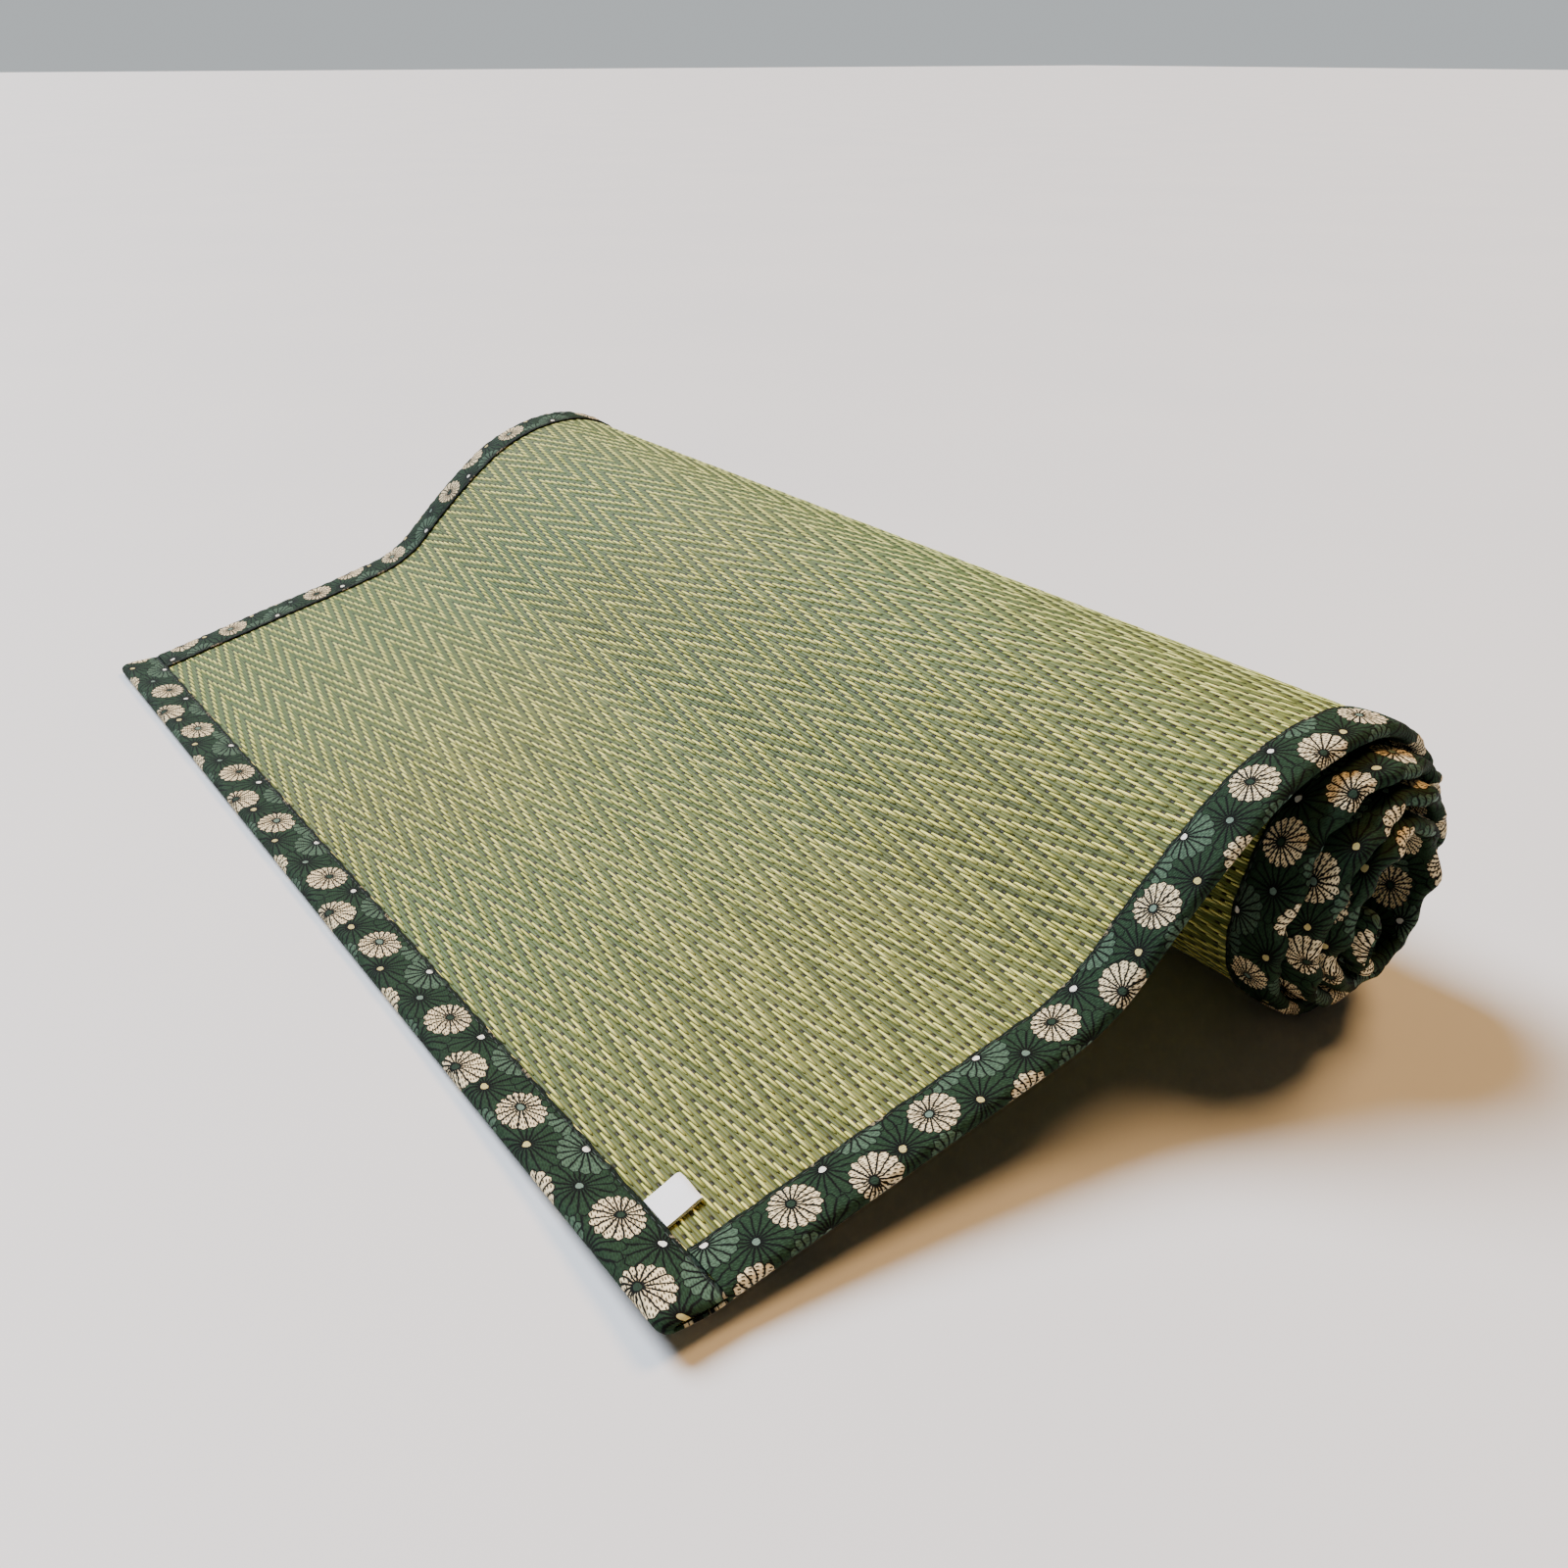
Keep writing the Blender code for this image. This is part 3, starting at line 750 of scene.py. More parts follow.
# %% Chart of the brocade
LEAF, SAGE, CREAM = "#213724", "#485f4c", "#eddbb0"
WHITE_DOT, GREY_DOT, DARK_DOT, STRAW_DOT = "#efeee2", "#687e70", "#25372a", "#c9bd80"
FLOWER_CHART = (
    # along, across, lean along, lean across, radius, petals, petal colour, dot colour
    (34.0, 27.0, 0.0, 0.0, 12.5, 20, LEAF, GREY_DOT),
    (61.0, 26.0, 0.0, 0.0, 12.0, 19, LEAF, STRAW_DOT),
    (103.0, 27.0, 0.0, 0.0, 12.5, 20, LEAF, GREY_DOT),
    (82.0, 27.5, 0.0, 0.0, 12.5, 20, LEAF, GREY_DOT),
    (14.6, 4.2, 0.0, 0.0, 13.6, 18, LEAF, STRAW_DOT),
    (89.0, 5.8, 0.5, 0.0, 12.8, 18, LEAF, STRAW_DOT),
    (94.0, 23.5, 0.0, 0.0, 10.0, 16, LEAF, GREY_DOT),
    (67.0, 16.7, 0.5, -0.3, 12.6, 17, LEAF, WHITE_DOT),
    (56.0, -2.0, 0.0, 0.0, 12.0, 17, LEAF, GREY_DOT),
    (12.0, 24.5, 0.0, 0.0, 10.8, 18, SAGE, WHITE_DOT),
    (37.3, 8.5, 0.0, -0.2, 11.4, 18, LEAF, GREY_DOT),
    (82.5, 22.5, 0.0, 0.0, 9.6, 17, SAGE, WHITE_DOT),
    (101.0, -5.5, 0.0, 0.0, 8.4, 16, SAGE, WHITE_DOT),
    (48.0, -6.0, 0.0, 0.0, 8.2, 16, SAGE, WHITE_DOT),
    (25.6, 18.6, 1.0, -0.6, 9.8, 17, SAGE, WHITE_DOT),
    (30.0, -5.6, 0.0, 0.5, 8.8, 16, CREAM, DARK_DOT),
    (75.5, 2.6, 2.0, 1.4, 8.6, 17, CREAM, DARK_DOT),
    (52.5, 12.6, 0.5, -1.2, 8.6, 17, CREAM, DARK_DOT),
    (103.4, 10.7, 1.5, -0.3, 8.6, 17, CREAM, GREY_DOT),
    (4.0, -15.0, 0.0, 0.0, 10.5, 16, LEAF, STRAW_DOT),
    (20.0, -13.0, 0.0, 0.0, 9.0, 16, SAGE, WHITE_DOT),
    (66.0, -13.5, 0.5, 0.0, 8.6, 17, CREAM, GREY_DOT),
    (90.0, -14.0, 0.5, 0.0, 8.6, 17, CREAM, DARK_DOT),
)

# %% [markdown]
# On the real tape a dark weft ties the coloured threads down. It shows as short dashes in leaning rows, most
# of all on the pale petals, and the rows give the cloth its ribs.

# %% Rows of thread and binding stitches
# How strongly the dashes show in a colour
STITCHED = {LEAF: 0.45, SAGE: 0.50, CREAM: 0.95}
# Length of a dash with its gap, the distance between rows, and their lean, in mm
STROKE_LONG, STROKE_ROW, STROKE_LEAN = 1.9, 0.92, 0.35


def thread_rows(tree, along_mm, across_mm):
    """Where the dashes lie, from 0 to 1, and how far a place is from the middle of its row."""
    leaned = add(tree, "Math", [along_mm, STROKE_LEAN, across_mm], "MULTIPLY_ADD")
    rows = add(tree, "Math", [leaned, 1 / STROKE_ROW], "MULTIPLY")
    row = add(tree, "Math", [rows], "FLOOR")
    in_row = add(tree, "Math", [rows], "FRACT")
    row_own = add(tree, "TexWhiteNoise", {"W": row}, noise_dimensions="1D")
    lengths = add(tree, "Math", [along_mm, 1 / STROKE_LONG, row_own], "MULTIPLY_ADD")
    in_stroke = add(tree, "Math", [lengths], "FRACT")
    along_stroke = add(tree, "MapRange", {"Value": in_stroke, "From Min": 0.40, "From Max": 0.52})
    row_middle = add(tree, "Math", [in_row, 0.5], "SUBTRACT")
    row_side = add(tree, "Math", [row_middle], "ABSOLUTE")
    stroke_range = {"Value": row_side, "From Min": 0.19, "From Max": 0.30, "To Min": 1.0, "To Max": 0.0}
    across_stroke = add(tree, "MapRange", stroke_range)
    return add(tree, "Math", [along_stroke, across_stroke], "MULTIPLY"), row_side


def colour_table(tree, rank, codes, alphas):
    """A colour ramp in even steps, read by a flower's rank."""
    place = add(tree, "Math", [rank, 0.5], "ADD")
    scaled = add(tree, "Math", [place, 1 / len(codes)], "MULTIPLY")
    table = add(tree, "ValToRGB", [scaled])
    table.color_ramp.interpolation = "CONSTANT"
    for _ in codes[2:]:
        table.color_ramp.elements.new(0.5)
    for k, (element, code, alpha) in enumerate(zip(table.color_ramp.elements, codes, alphas)):
        element.position = k / len(codes)
        element.color = linear(code, alpha)
    return table


# %% [markdown]
# The material lays the flowers over each other, reads their colours from two tables, one for petals and
# one for dots, and draws the outlines and the dashes. The eye gets a matte, crowded cloth with a woven
# edge to every petal.

# %% Brocade material
# Outlines bend by up to half of this, because no thread lies dead straight
WANDER_MM = 0.9
OUTLINE_COLOUR, DASH_COLOUR, LIP_COLOUR = "#040705", "#0a0f0a", "#070b08"
# Half the width of an outline, and how far it fades into the petal, in mm
OUTLINE_HALF, OUTLINE_FADE = 0.22, 0.16
# Bare ground between the flowers counts as the middle of a leaf's petal
GROUND = 0.3


def lay_flowers(tree, bent):
    """Rank and share of the flower that is on top."""
    woven = GROUND
    for k, (at, over, lean_at, lean_over, radius, petals, _, _) in enumerate(FLOWER_CHART):
        values = {
            "Place": bent, "Centre": (at + WANDER_MM / 2, over + WANDER_MM / 2, 0.0),
            "Lean": (lean_at, lean_over, 0.0), "Radius in the Notch": radius * (1 - NOTCH),
            "Lobe": radius * NOTCH * sqrt(2), "Petals per Radian": petals / (2 * pi), "Turn": 0.37 * k,
            "Rank": k + 1.0, "Below": woven,
        }
        woven = add(tree, "Group", values, node_tree=CHRYSANTHEMUM)
    return add(tree, "Math", [woven], "FLOOR"), add(tree, "Math", [woven], "FRACT")


def brocade_material(name):
    """Jacquard tape, matte, with outlined petals and a visible weave. The UV map holds metres of tape."""
    material, tree, shader = new_material(name)
    cut = add(tree, "UVMap", uv_map="cut").outputs[0]
    place = add(tree, "SeparateXYZ", [cut])
    wander = add(tree, "TexNoise", {"Vector": cut, "Scale": 520.0, "Detail": 2.0})
    wander_parts = add(tree, "SeparateColor", [wander.outputs["Color"]])
    along_mm = add(tree, "Math", [place.outputs[0], MM], "MULTIPLY")
    across_mm = add(tree, "Math", [place.outputs[1], MM], "MULTIPLY")
    along_bent = add(tree, "Math", [wander_parts.outputs[0], WANDER_MM, along_mm], "MULTIPLY_ADD")
    across_bent = add(tree, "Math", [wander_parts.outputs[1], WANDER_MM, across_mm], "MULTIPLY_ADD")
    rank, share = lay_flowers(tree, add(tree, "CombineXYZ", [along_bent, across_bent]))
    share_per_mm = PETAL_SHARE / PETAL_DEPTH
    line = {
        "Value": share, "From Min": OUTLINE_HALF * share_per_mm,
        "From Max": (OUTLINE_HALF + OUTLINE_FADE) * share_per_mm,
    }
    drawn = add(tree, "MapRange", line)
    is_dot = add(tree, "Math", [share, (PETAL_SHARE + DOT_SHARE) / 2], "GREATER_THAN")
    petal_codes = [LEAF] + [row[6] for row in FLOWER_CHART]
    dot_codes = [LEAF] + [row[7] for row in FLOWER_CHART]
    petal_colour = colour_table(tree, rank, petal_codes, [STITCHED[code] for code in petal_codes])
    dot_colour = colour_table(tree, rank, dot_codes, [1.0] * len(dot_codes))
    # Threads differ a little in tone, and painted shade makes each puffy petal darker at its outline than in
    # its middle
    tone = add(tree, "MapRange", {"Value": wander_parts.outputs[2], "To Min": 0.72, "To Max": 1.28})
    painted_petal_shade = add(tree, "MapRange", {"Value": share, "From Max": 0.5, "To Min": 0.62, "To Max": 1.12})
    light = add(tree, "Math", [tone, painted_petal_shade], "MULTIPLY")
    toned = add(tree, "VectorMath", {0: petal_colour, "Scale": light}, "SCALE")
    with_outline = add(tree, "Mix", {0: drawn, 6: linear(OUTLINE_COLOUR), 7: toned}, data_type="RGBA")
    stroke, row_side = thread_rows(tree, along_mm, across_mm)
    dash = add(tree, "Math", [stroke, petal_colour.outputs["Alpha"]], "MULTIPLY")
    dashed = {0: dash, 6: with_outline.outputs[2], 7: linear(DASH_COLOUR)}
    with_dashes = add(tree, "Mix", dashed, data_type="RGBA")
    dotted = {0: is_dot, 6: with_dashes.outputs[2], 7: dot_colour}
    with_dot = add(tree, "Mix", dotted, data_type="RGBA")
    # The lip is turned in and sewn down, so it is dark and in shade
    lip_range = {"Value": across_bent, "From Min": 19.3, "From Max": 20.3, "To Min": 0.0, "To Max": 0.75}
    lipped = {0: add(tree, "MapRange", lip_range), 6: with_dot.outputs[2], 7: linear(LIP_COLOUR)}
    with_lip = add(tree, "Mix", lipped, data_type="RGBA")
    tree.links.new(with_lip.outputs[2], shader.inputs["Base Color"])
    # Relief: sunk dashes, and the round backs of the rows of thread
    rounded = add(tree, "Math", [row_side, row_side], "MULTIPLY")
    backs = add(tree, "Math", [stroke, 0.16, rounded], "MULTIPLY_ADD")
    bump = add(tree, "Bump", {"Height": backs, "Strength": 0.9, "Distance": 0.0006}, invert=True)
    tree.links.new(bump.outputs[0], shader.inputs["Normal"])
    shader.inputs["Roughness"].default_value = 0.75
    shader.inputs["IOR"].default_value = 1.42
    shader.inputs["Specular IOR Level"].default_value = 0.15
    return material


brocade = brocade_material("jacquard_brocade")
print("flowers in a repeat:", len(FLOWER_CHART))

# %% [markdown]
# The tape is folded over the edge of the rush and sewn through. Its lip is turned in, so it meets the rush
# with a soft round edge, and the thread draws the cloth down in a shallow groove. The pull of the thread
# puckers the tape: small troughs run from the groove to the fold.

# %% Section of the folded tape
TAPE_THICKNESS = 0.00095
SEAM_IN_FROM_LIP = 0.0011
SEAM_DEPTH = 0.00032
SEAM_HALF = 0.0007
SEAM_EASES_OVER = 0.003
LIP_DROP = 0.00045
LIP_FROM, LIP_OVER = 0.0202, 0.0008
LIP_WAVE = 0.00035
LIP_WAVE_LENGTH = 0.016
LIP_WAVE_FROM, LIP_WAVE_OVER = 0.0165, 0.004
CROWN = 0.0006
CROWN_FROM, CROWN_OVER = 0.001, 0.0185
PUCKER_DEPTH = 0.00034
PUCKER_LENGTH = 0.0083
# The seam holds the cloth down, so the puckers fade towards it to this share
PUCKER_FROM, PUCKER_OVER, PUCKER_LEAST = 0.0200, 0.004, 0.15
FOLD_STEPS = 10
# Places across the tape, in from the mat's edge, from the lip to where the fold starts
TAPE_STOPS = (
    0.0210, 0.0207, 0.0203, 0.0199, 0.0194, 0.0186,
    0.0172, 0.0150, 0.0124, 0.0098, 0.0072, 0.0046,
)


def tape_section():
    """Rows of the section: distance in from the edge, height, and distance along the cloth for the UV."""
    angles = [pi * step / FOLD_STEPS for step in range(FOLD_STEPS + 1)]
    fold = [
        (HALF_EDGE - CLOTH_MIDDLE * sin(angle), CLOTH_MIDDLE * cos(angle), HALF_EDGE - CLOTH_MIDDLE * angle)
        for angle in angles
    ]
    above = [(stop, CLOTH_MIDDLE, stop) for stop in TAPE_STOPS]
    fold_length = pi * CLOTH_MIDDLE
    below = [(stop, -CLOTH_MIDDLE, 2 * HALF_EDGE - fold_length - stop) for stop in reversed(TAPE_STOPS)]
    return np.array(above + fold + below)


TAPE = tape_section()


def tape_height(from_edge, h, t):
    """Height of the tape with its lip turned down, its seam drawn in and its puckers; t is along the edge."""
    lip = np.clip((from_edge - LIP_FROM) / LIP_OVER, 0.0, 1.0) ** 2
    seam = np.exp(-(((from_edge - (BORDER_WIDTH - SEAM_IN_FROM_LIP)) / SEAM_HALF) ** 2))
    eased = np.clip((from_edge - HALF_EDGE) / SEAM_EASES_OVER, 0.0, 1.0)
    drawn_in = LIP_DROP * lip + SEAM_DEPTH * seam * eased
    # Only the upper face puffs up and puckers, so that the under face still lies flat
    upper = np.clip(h / CLOTH_MIDDLE, 0.0, 1.0)
    crown = CROWN * np.sin(pi * np.clip((from_edge - CROWN_FROM) / CROWN_OVER, 0.0, 1.0))
    held = np.clip((PUCKER_FROM - from_edge) / PUCKER_OVER, PUCKER_LEAST, 1.0)
    pucker = PUCKER_DEPTH * held * uneven(t + 0.3 * from_edge, PUCKER_LENGTH)
    return h + upper * (crown + pucker) - np.sign(h) * drawn_in


def wavy_lip(from_edge, t):
    """Distances in from the edge, with the lip a little wavy, as hand-led sewing leaves it."""
    share = np.clip((from_edge - LIP_WAVE_FROM) / LIP_WAVE_OVER, 0.0, 1.0)
    return from_edge + LIP_WAVE * uneven(t, LIP_WAVE_LENGTH) * share


print("tape is", round((TAPE[0, 2] - TAPE[-1, 2]) * MM, 1), "mm wide, flat")

# %% [markdown]
# Each long edge has its own strip of tape. It is laid out flat as a grid, folded by its section, and then
# bent together with the sheet, so that it follows the roll to its inner end and its puckers bend with it.

# %% Side borders
TAPE_STEP = 0.0020
SIDE_START = BORDER_WIDTH + GAP
# The tape of each edge was cut from the roll at its own place in the pattern
RIGHT_PATTERN_START = 0.0
LEFT_PATTERN_START = 0.041


def make_side_border(name, side, pattern_start):
    """Tape over a long edge, between the end borders: side is -1 on the right and 1 on the left."""
    stations = np.linspace(SIDE_START, SHEET_LENGTH - SIDE_START, round(SHEET_LENGTH / TAPE_STEP))
    piece, row, column = lay_out(name, stations, len(TAPE))
    s = stations[row]
    from_edge, h, along_cloth = TAPE[column].T
    height = tape_height(from_edge, h, s + (0.0 if side < 0 else 0.5))
    flat = np.column_stack([s + pattern_start, along_cloth])
    points = sheet_points(s, side * (MAT_WIDTH / 2 - wavy_lip(from_edge, s)), height)
    return place_cloth(piece, points, flat, TAPE_THICKNESS, brocade)


border_right = make_side_border("brocade_border_right", -1, RIGHT_PATTERN_START)
border_left = make_side_border("brocade_border_left", 1, LEFT_PATTERN_START)

# %% [markdown]
# The end borders are sewn on last and run over the ends of the side borders, from corner to corner. Their
# own ends are folded in, so the section gets thinner and draws in there, and the corners are round.

# %% End borders
# The rounded ends take this much of the width at each corner
END_REACH = 0.005
# Along the front edge the repeat is longer than along the sides, and runs the other way
FRONT_REPEAT_STRETCH = 1.20
FRONT_PATTERN_START = 0.0896
INNER_PATTERN_START = 0.050
END_ROUNDING = (
    # from the end, in from the edge, share of thickness
    (0.0004, 0.0034, 0.40),
    (0.0009, 0.0020, 0.66),
    (0.0017, 0.0010, 0.86),
    (0.0030, 0.0003, 0.97),
)


def make_end_border(name, length_at, pattern_start):
    """Tape over a short edge, from corner to corner. length_at turns its distance in into s."""
    right_end = [(from_end - MAT_WIDTH / 2, inset, share) for from_end, inset, share in END_ROUNDING]
    left_end = [(-v, inset, share) for v, inset, share in reversed(right_end)]
    reach = MAT_WIDTH / 2 - END_REACH
    between = [(v, 0.0, 1.0) for v in np.linspace(-reach, reach, round(2 * reach / TAPE_STEP))]
    stations = np.array(right_end + between + left_end)
    piece, row, column = lay_out(name, stations, len(TAPE))
    v, inset, share = stations[row].T
    from_edge, h, along_cloth = TAPE[column].T
    height = tape_height(from_edge, h, v + 1.7) * share
    inwards = inset + wavy_lip(from_edge, v) * (1 - inset / BORDER_WIDTH)
    flat = np.column_stack([pattern_start - (v + MAT_WIDTH / 2) / FRONT_REPEAT_STRETCH, along_cloth])
    return place_cloth(piece, sheet_points(length_at(inwards), v, height), flat, TAPE_THICKNESS, brocade)


border_front = make_end_border("brocade_border_front", lambda inwards: inwards, FRONT_PATTERN_START)
border_inner = make_end_border(
    "brocade_border_inner_end", lambda inwards: SHEET_LENGTH - inwards, INNER_PATTERN_START
)
for piece, node in (
    (border_right, "border_right"), (border_left, "border_left"),
    (border_front, "border_front"), (border_inner, "border_inner_end"),
):
    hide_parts(node)
    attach(piece, "root")

# %% [markdown]
# The seam is a plain machine stitch in dark green thread. A stitch is a short rounded rod, modelled once
# from a small sphere and copied along the groove, each one sunk at its ends where it goes through the mat.

# %% Stitches
STITCH_LENGTH = 0.0034
STITCH_GAP = 0.0006
THREAD = 0.00042
# Height of the thread's middle over the middle of the sheet, at the bottom of the groove
STITCH_SEAT = CLOTH_MIDDLE + TAPE_THICKNESS / 2 - SEAM_DEPTH + 0.00008
STITCH_END_DEPTH = 0.00025


def thread_material():
    """Spun polyester thread: dark green, with a slight gloss and its twist as fine ridges."""
    material, tree, shader = new_material("spun_sewing_thread")
    where = add(tree, "TexCoord").outputs["Object"]
    fuzz = add(tree, "TexNoise", {"Vector": where, "Scale": 4000.0, "Detail": 1.0})
    greens = {0: fuzz, 6: linear("#0d150f"), 7: linear("#2a3a2c")}
    tint = add(tree, "Mix", greens, data_type="RGBA")
    tree.links.new(tint.outputs[2], shader.inputs["Base Color"])
    bump = add(tree, "Bump", {"Height": fuzz, "Strength": 0.5, "Distance": 0.0001})
    tree.links.new(bump.outputs[0], shader.inputs["Normal"])
    shader.inputs["Roughness"].default_value = 0.6
    return material


sewing_thread = thread_material()


def make_stitches(name, start, end, place_at):
    """Joined stitches from start to end; place_at turns a distance and a sideways shift into s and v."""
    ball, faces = model_ball()
    count = int((end - start) / (STITCH_LENGTH + STITCH_GAP))
    first = start + np.arange(count) * (end - start) / count
    shape = ball[None, :, :]
    t = first[:, None] + (shape[..., 1] * 0.5 + 0.5) * STITCH_LENGTH
    aside = shape[..., 0] * THREAD / 2
    sunk = -STITCH_END_DEPTH * np.abs(shape[..., 1]) ** 3
    h = STITCH_SEAT + shape[..., 2] * THREAD / 2 + sunk
    s, v = place_at(t.ravel(), np.broadcast_to(aside, t.shape).ravel())
    points = sheet_points(s, v, np.broadcast_to(h, t.shape).ravel())
    piece = join_copies(name, points, ball, faces, sewing_thread)
    face_outwards(piece)
    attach(piece, "root")
    print(name, count, "stitches")
    return piece


SEAM_PLACE = BORDER_WIDTH - SEAM_IN_FROM_LIP
SEAM_EDGE = MAT_WIDTH / 2 - SEAM_PLACE
SEAM_ENDS_IN = 0.004
SEAM_REACH = MAT_WIDTH / 2 - SEAM_ENDS_IN
SIDE_END = SHEET_LENGTH - SIDE_START
INNER_SEAM = SHEET_LENGTH - SEAM_PLACE
SEAMS = (
    # name, from, to, and the place of a point that is t along the seam and a little aside of it
    ("stitches_right", SIDE_START, SIDE_END, lambda t, aside: (t, -SEAM_EDGE + aside)),
    ("stitches_left", SIDE_START, SIDE_END, lambda t, aside: (t, SEAM_EDGE + aside)),
    ("stitches_front", -SEAM_REACH, SEAM_REACH, lambda t, aside: (SEAM_PLACE + aside, t)),
    ("stitches_inner_end", -SEAM_REACH, SEAM_REACH, lambda t, aside: (INNER_SEAM + aside, t)),
)
stitches = [make_stitches(*seam) for seam in SEAMS]

# %% [markdown]
# The tab is a strip of white satin tape, folded in two and caught under the front border, so that its fold
# stands out over the rush and its two layers gape a little. It carries nothing, and stays plain.

# %% Folded tab
TAB_START = BORDER_WIDTH + 0.0004
TAB_LENGTH = 0.0135
TAB_WIDTH = 0.0135
TAB_CENTRE = -0.2612
TAB_CLOTH = 0.0005
TAB_TILT = 0.0015
TAB_SAG = 0.00016
TAB_SKEW = 0.00018
TAB_COLUMNS = 13
# Share of its length, and height in mm above the rush
TAB_SECTION = (
    (0.00, 0.45), (0.20, 0.50), (0.40, 0.58), (0.60, 0.70), (0.78, 0.86),
    (0.90, 1.04), (0.97, 1.24), (1.00, 1.50), (0.97, 1.78), (0.90, 1.86),
    (0.78, 1.74), (0.60, 1.52), (0.40, 1.32), (0.20, 1.16), (0.00, 1.06),
)


def satin_material():
    """Polyester satin tape: white, smooth along its floats, with a fine cross rib."""
    material, tree, shader = new_material("white_satin_tape")
    place = add(tree, "UVMap", uv_map="cut").outputs[0]
    threads = add(tree, "Mapping", {"Vector": place, "Scale": (5200.0, 900.0, 1.0)})
    noise = add(tree, "TexNoise", {"Vector": threads, "Scale": 1.0, "Detail": 1.0})
    whites = {0: noise, 6: linear("#eef0f4"), 7: linear("#ffffff")}
    tint = add(tree, "Mix", whites, data_type="RGBA")
    tree.links.new(tint.outputs[2], shader.inputs["Base Color"])
    bump = add(tree, "Bump", {"Height": noise, "Strength": 0.35, "Distance": 0.00015})
    tree.links.new(bump.outputs[0], shader.inputs["Normal"])
    shader.inputs["Roughness"].default_value = 0.48
    shader.inputs["Sheen Weight"].default_value = 0.1
    return material


def make_tab():
    """The tape laid out flat, folded in two around its section, with its fold a little crooked."""
    section = np.array(TAB_SECTION)
    sides = np.linspace(-0.5, 0.5, TAB_COLUMNS)
    piece, row, column = lay_out("satin_tab", section, len(sides))
    share, height = section[row].T
    side = sides[column]
    # The fold is not quite straight, and the free end sags between its corners
    sag = TAB_SAG * np.cos(2 * pi * side) * share
    s = TAB_START + TAB_LENGTH * share + TAB_SKEW * np.sin(5 * side) * share
    v = TAB_CENTRE + TAB_WIDTH * side + TAB_TILT * share
    points = sheet_points(s, v, RUSH_THICKNESS / 2 + height / MM + sag)
    steps = np.hypot(np.diff(section[:, 0]) * TAB_LENGTH, np.diff(section[:, 1]) / MM)
    around = np.concatenate([[0.0], np.cumsum(steps)])
    flat = np.column_stack([around[row], side * TAB_WIDTH])
    return place_cloth(piece, points, flat, TAB_CLOTH, satin_material())


tab = make_tab()
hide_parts("tab")
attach(tab, "root")

# %% [markdown]
# The mat's rush lies in a roll on the floor, each tape is folded over an edge of it, and the tab is folded
# too.

# %% [markdown]
# The set is a plain pale floor. A wide cool light on the left behind the mat, as a window would, throws the
# mat's shadow to the right and forward, and a weak warm lamp on the right behind it lights that shadow
# brown. Both are sun lamps with a wide disc, because a sun lights a large floor evenly. The world is dim
# and warm above, and pale near the horizon, so that the floor has no hard edge.

# %% Floor
FLOOR_SIZE = 60.0
FLOOR_LEVEL = -0.0004
bpy.ops.object.select_all(action="DESELECT")
bpy.ops.mesh.primitive_plane_add(size=FLOOR_SIZE, location=(0.0, 0.0, FLOOR_LEVEL))
floor = bpy.context.active_object
floor.name = "floor"


def floor_material():
    """Matte pale laminate: almost even, with a faint cloudiness so that it doesn't look like paper."""
    material, tree, shader = new_material("pale_floor")
    where = add(tree, "TexCoord").outputs["Object"]
    cloud = add(tree, "TexNoise", {"Vector": where, "Scale": 3.0, "Detail": 3.0})
    tint = {0: cloud, 6: linear("#dfe0e1"), 7: linear("#e9e8e6")}
    clouded = add(tree, "Mix", tint, data_type="RGBA")
    tree.links.new(clouded.outputs[2], shader.inputs["Base Color"])
    shader.inputs["Roughness"].default_value = 0.6
    return material


floor.data.materials.append(floor_material())

# %% Lights
AIM = Vector((0.02, -0.02, 0.03))
VIEW_RIGHT = Vector((0.8241, -0.5665, 0.0))
VIEW_AHEAD = Vector((0.5665, 0.8241, 0.0))
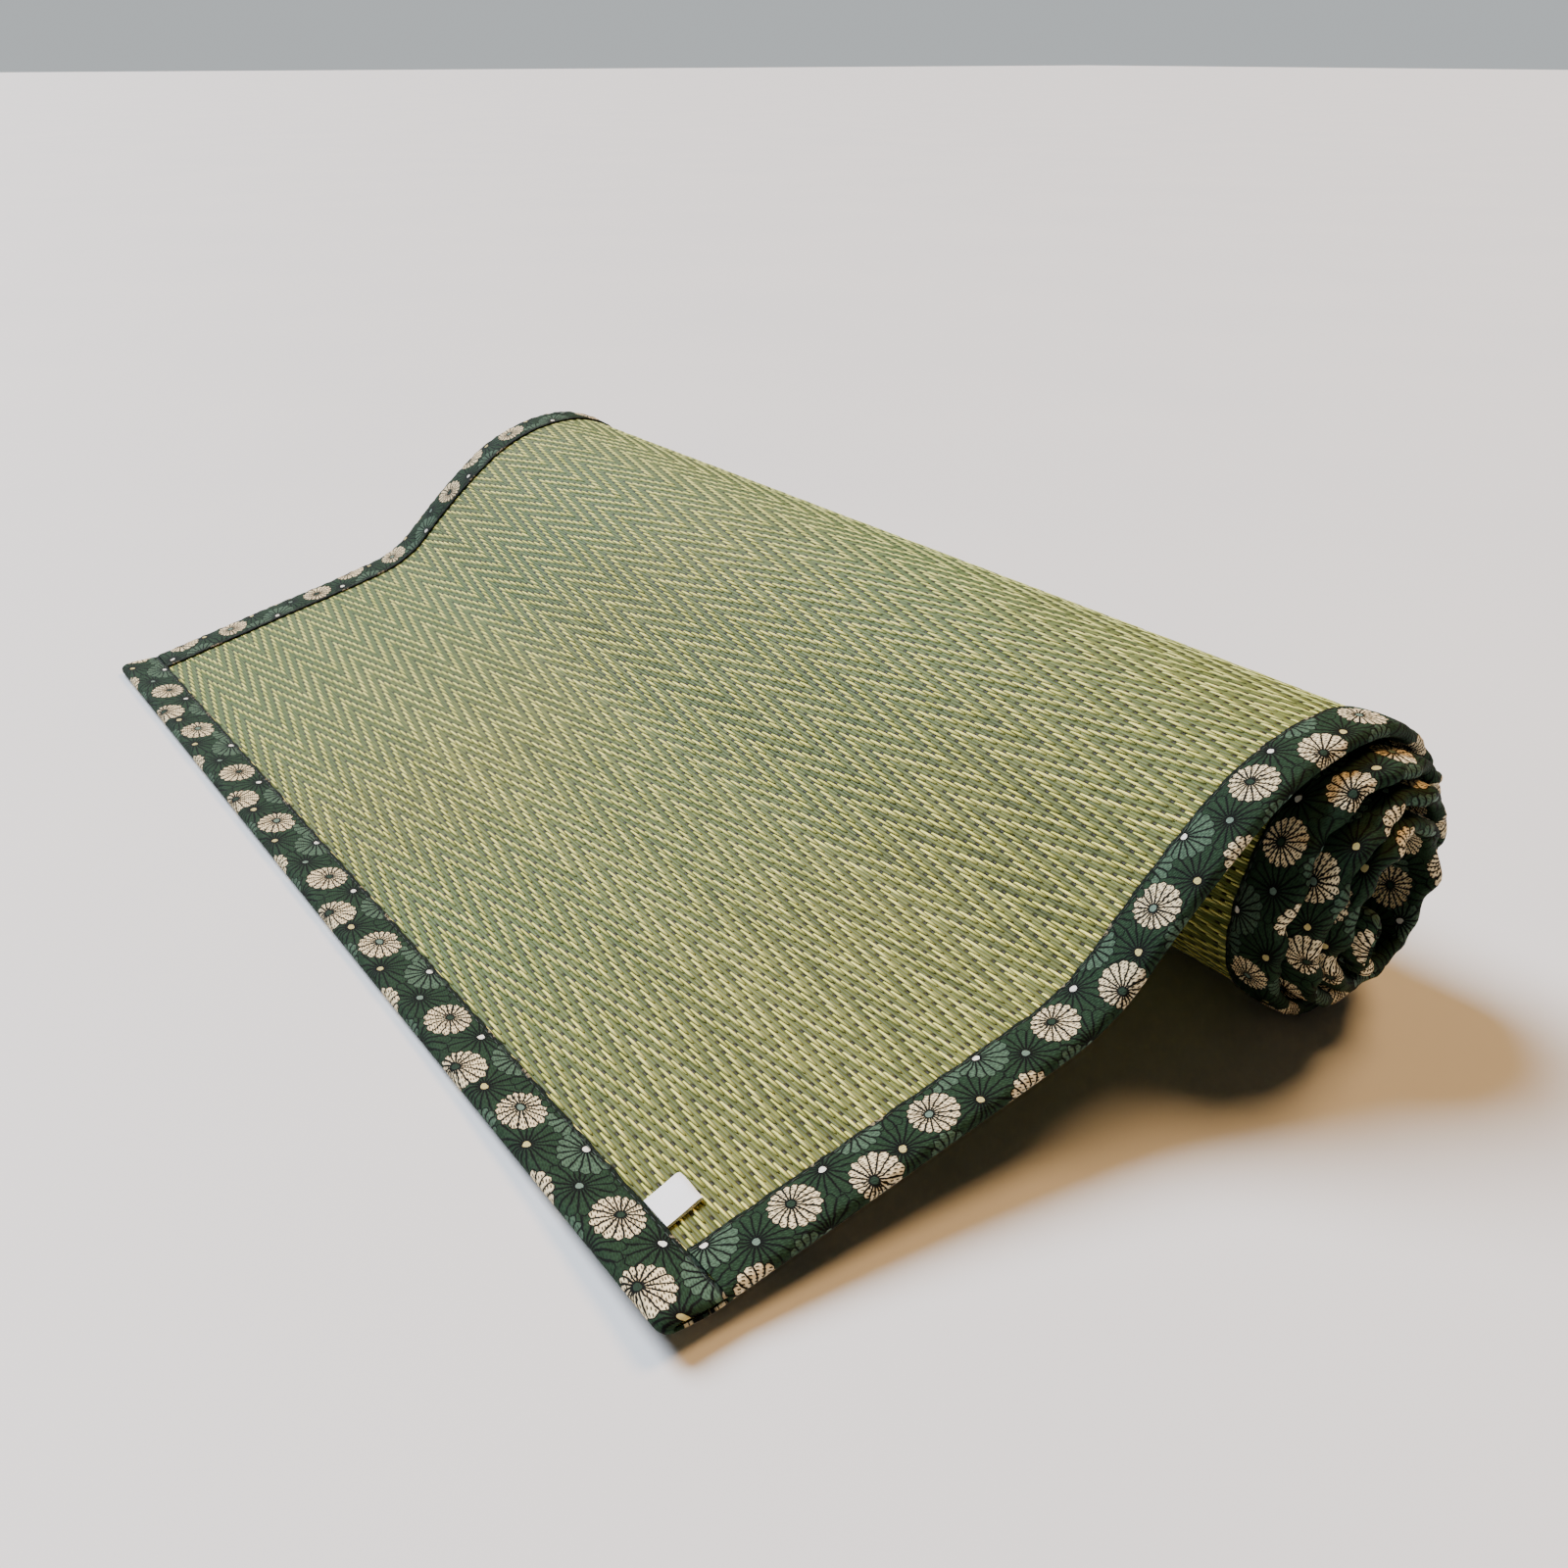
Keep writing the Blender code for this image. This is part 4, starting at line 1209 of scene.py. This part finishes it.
# Strength, width of the disc in degrees, and colour
WINDOW_POWER, WINDOW_DISC, WINDOW_COLOUR = 7.5, 34, "#eaf2ff"
LAMP_POWER, LAMP_DISC, LAMP_COLOUR = 2.7, 20, "#ffcb8c"


def add_light(name, side, ahead, up, power, disc, code):
    """A sun lamp that faces the mat, placed as seen from the camera: side, ahead and up in metres."""
    data = bpy.data.lights.new(name, "SUN")
    data.energy = power
    data.angle = radians(disc)
    data.color = linear(code)[:3]
    light = bpy.data.objects.new(name, data)
    light.location = AIM + VIEW_RIGHT * side + VIEW_AHEAD * ahead + Vector((0.0, 0.0, up))
    light.rotation_euler = (AIM - light.location).to_track_quat("-Z", "Y").to_euler()
    bpy.context.scene.collection.objects.link(light)
    return light


window = add_light("window", -1.2, 1.0, 1.75, WINDOW_POWER, WINDOW_DISC, WINDOW_COLOUR)
lamp = add_light("lamp", 1.1, 0.9, 2.1, LAMP_POWER, LAMP_DISC, LAMP_COLOUR)
print("lights:", window.name, lamp.name)

# %% World
ROOM_COLOUR, ROOM_LIGHT = "#cbb48e", 0.07
HORIZON_COLOUR, HORIZON_LIGHT = "#e6ecef", 0.65
# Height of the line of sight at which the horizon's tone starts to fade, and where it is gone
HORIZON_TOP, ROOM_FROM = 0.02, 0.22

world = bpy.data.worlds.new("room")
world.use_nodes = True
sky = world.node_tree
direction = add(sky, "SeparateXYZ", [add(sky, "TexCoord").outputs["Generated"]])
height_range = {
    "Value": direction.outputs[2],
    "From Min": HORIZON_TOP, "From Max": ROOM_FROM,
    "To Min": 1.0, "To Max": 0.0,
}
near_horizon = add(sky, "MapRange", height_range, interpolation_type="SMOOTHSTEP")
colours = {0: near_horizon, 6: linear(ROOM_COLOUR), 7: linear(HORIZON_COLOUR)}
sky_colour = add(sky, "Mix", colours, data_type="RGBA")
sky_light = add(sky, "Mix", {0: near_horizon, 2: ROOM_LIGHT, 3: HORIZON_LIGHT}, data_type="FLOAT")
background = sky.nodes["Background"]
sky.links.new(sky_colour.outputs[2], background.inputs["Color"])
sky.links.new(sky_light.outputs[0], background.inputs["Strength"])
bpy.context.scene.world = world
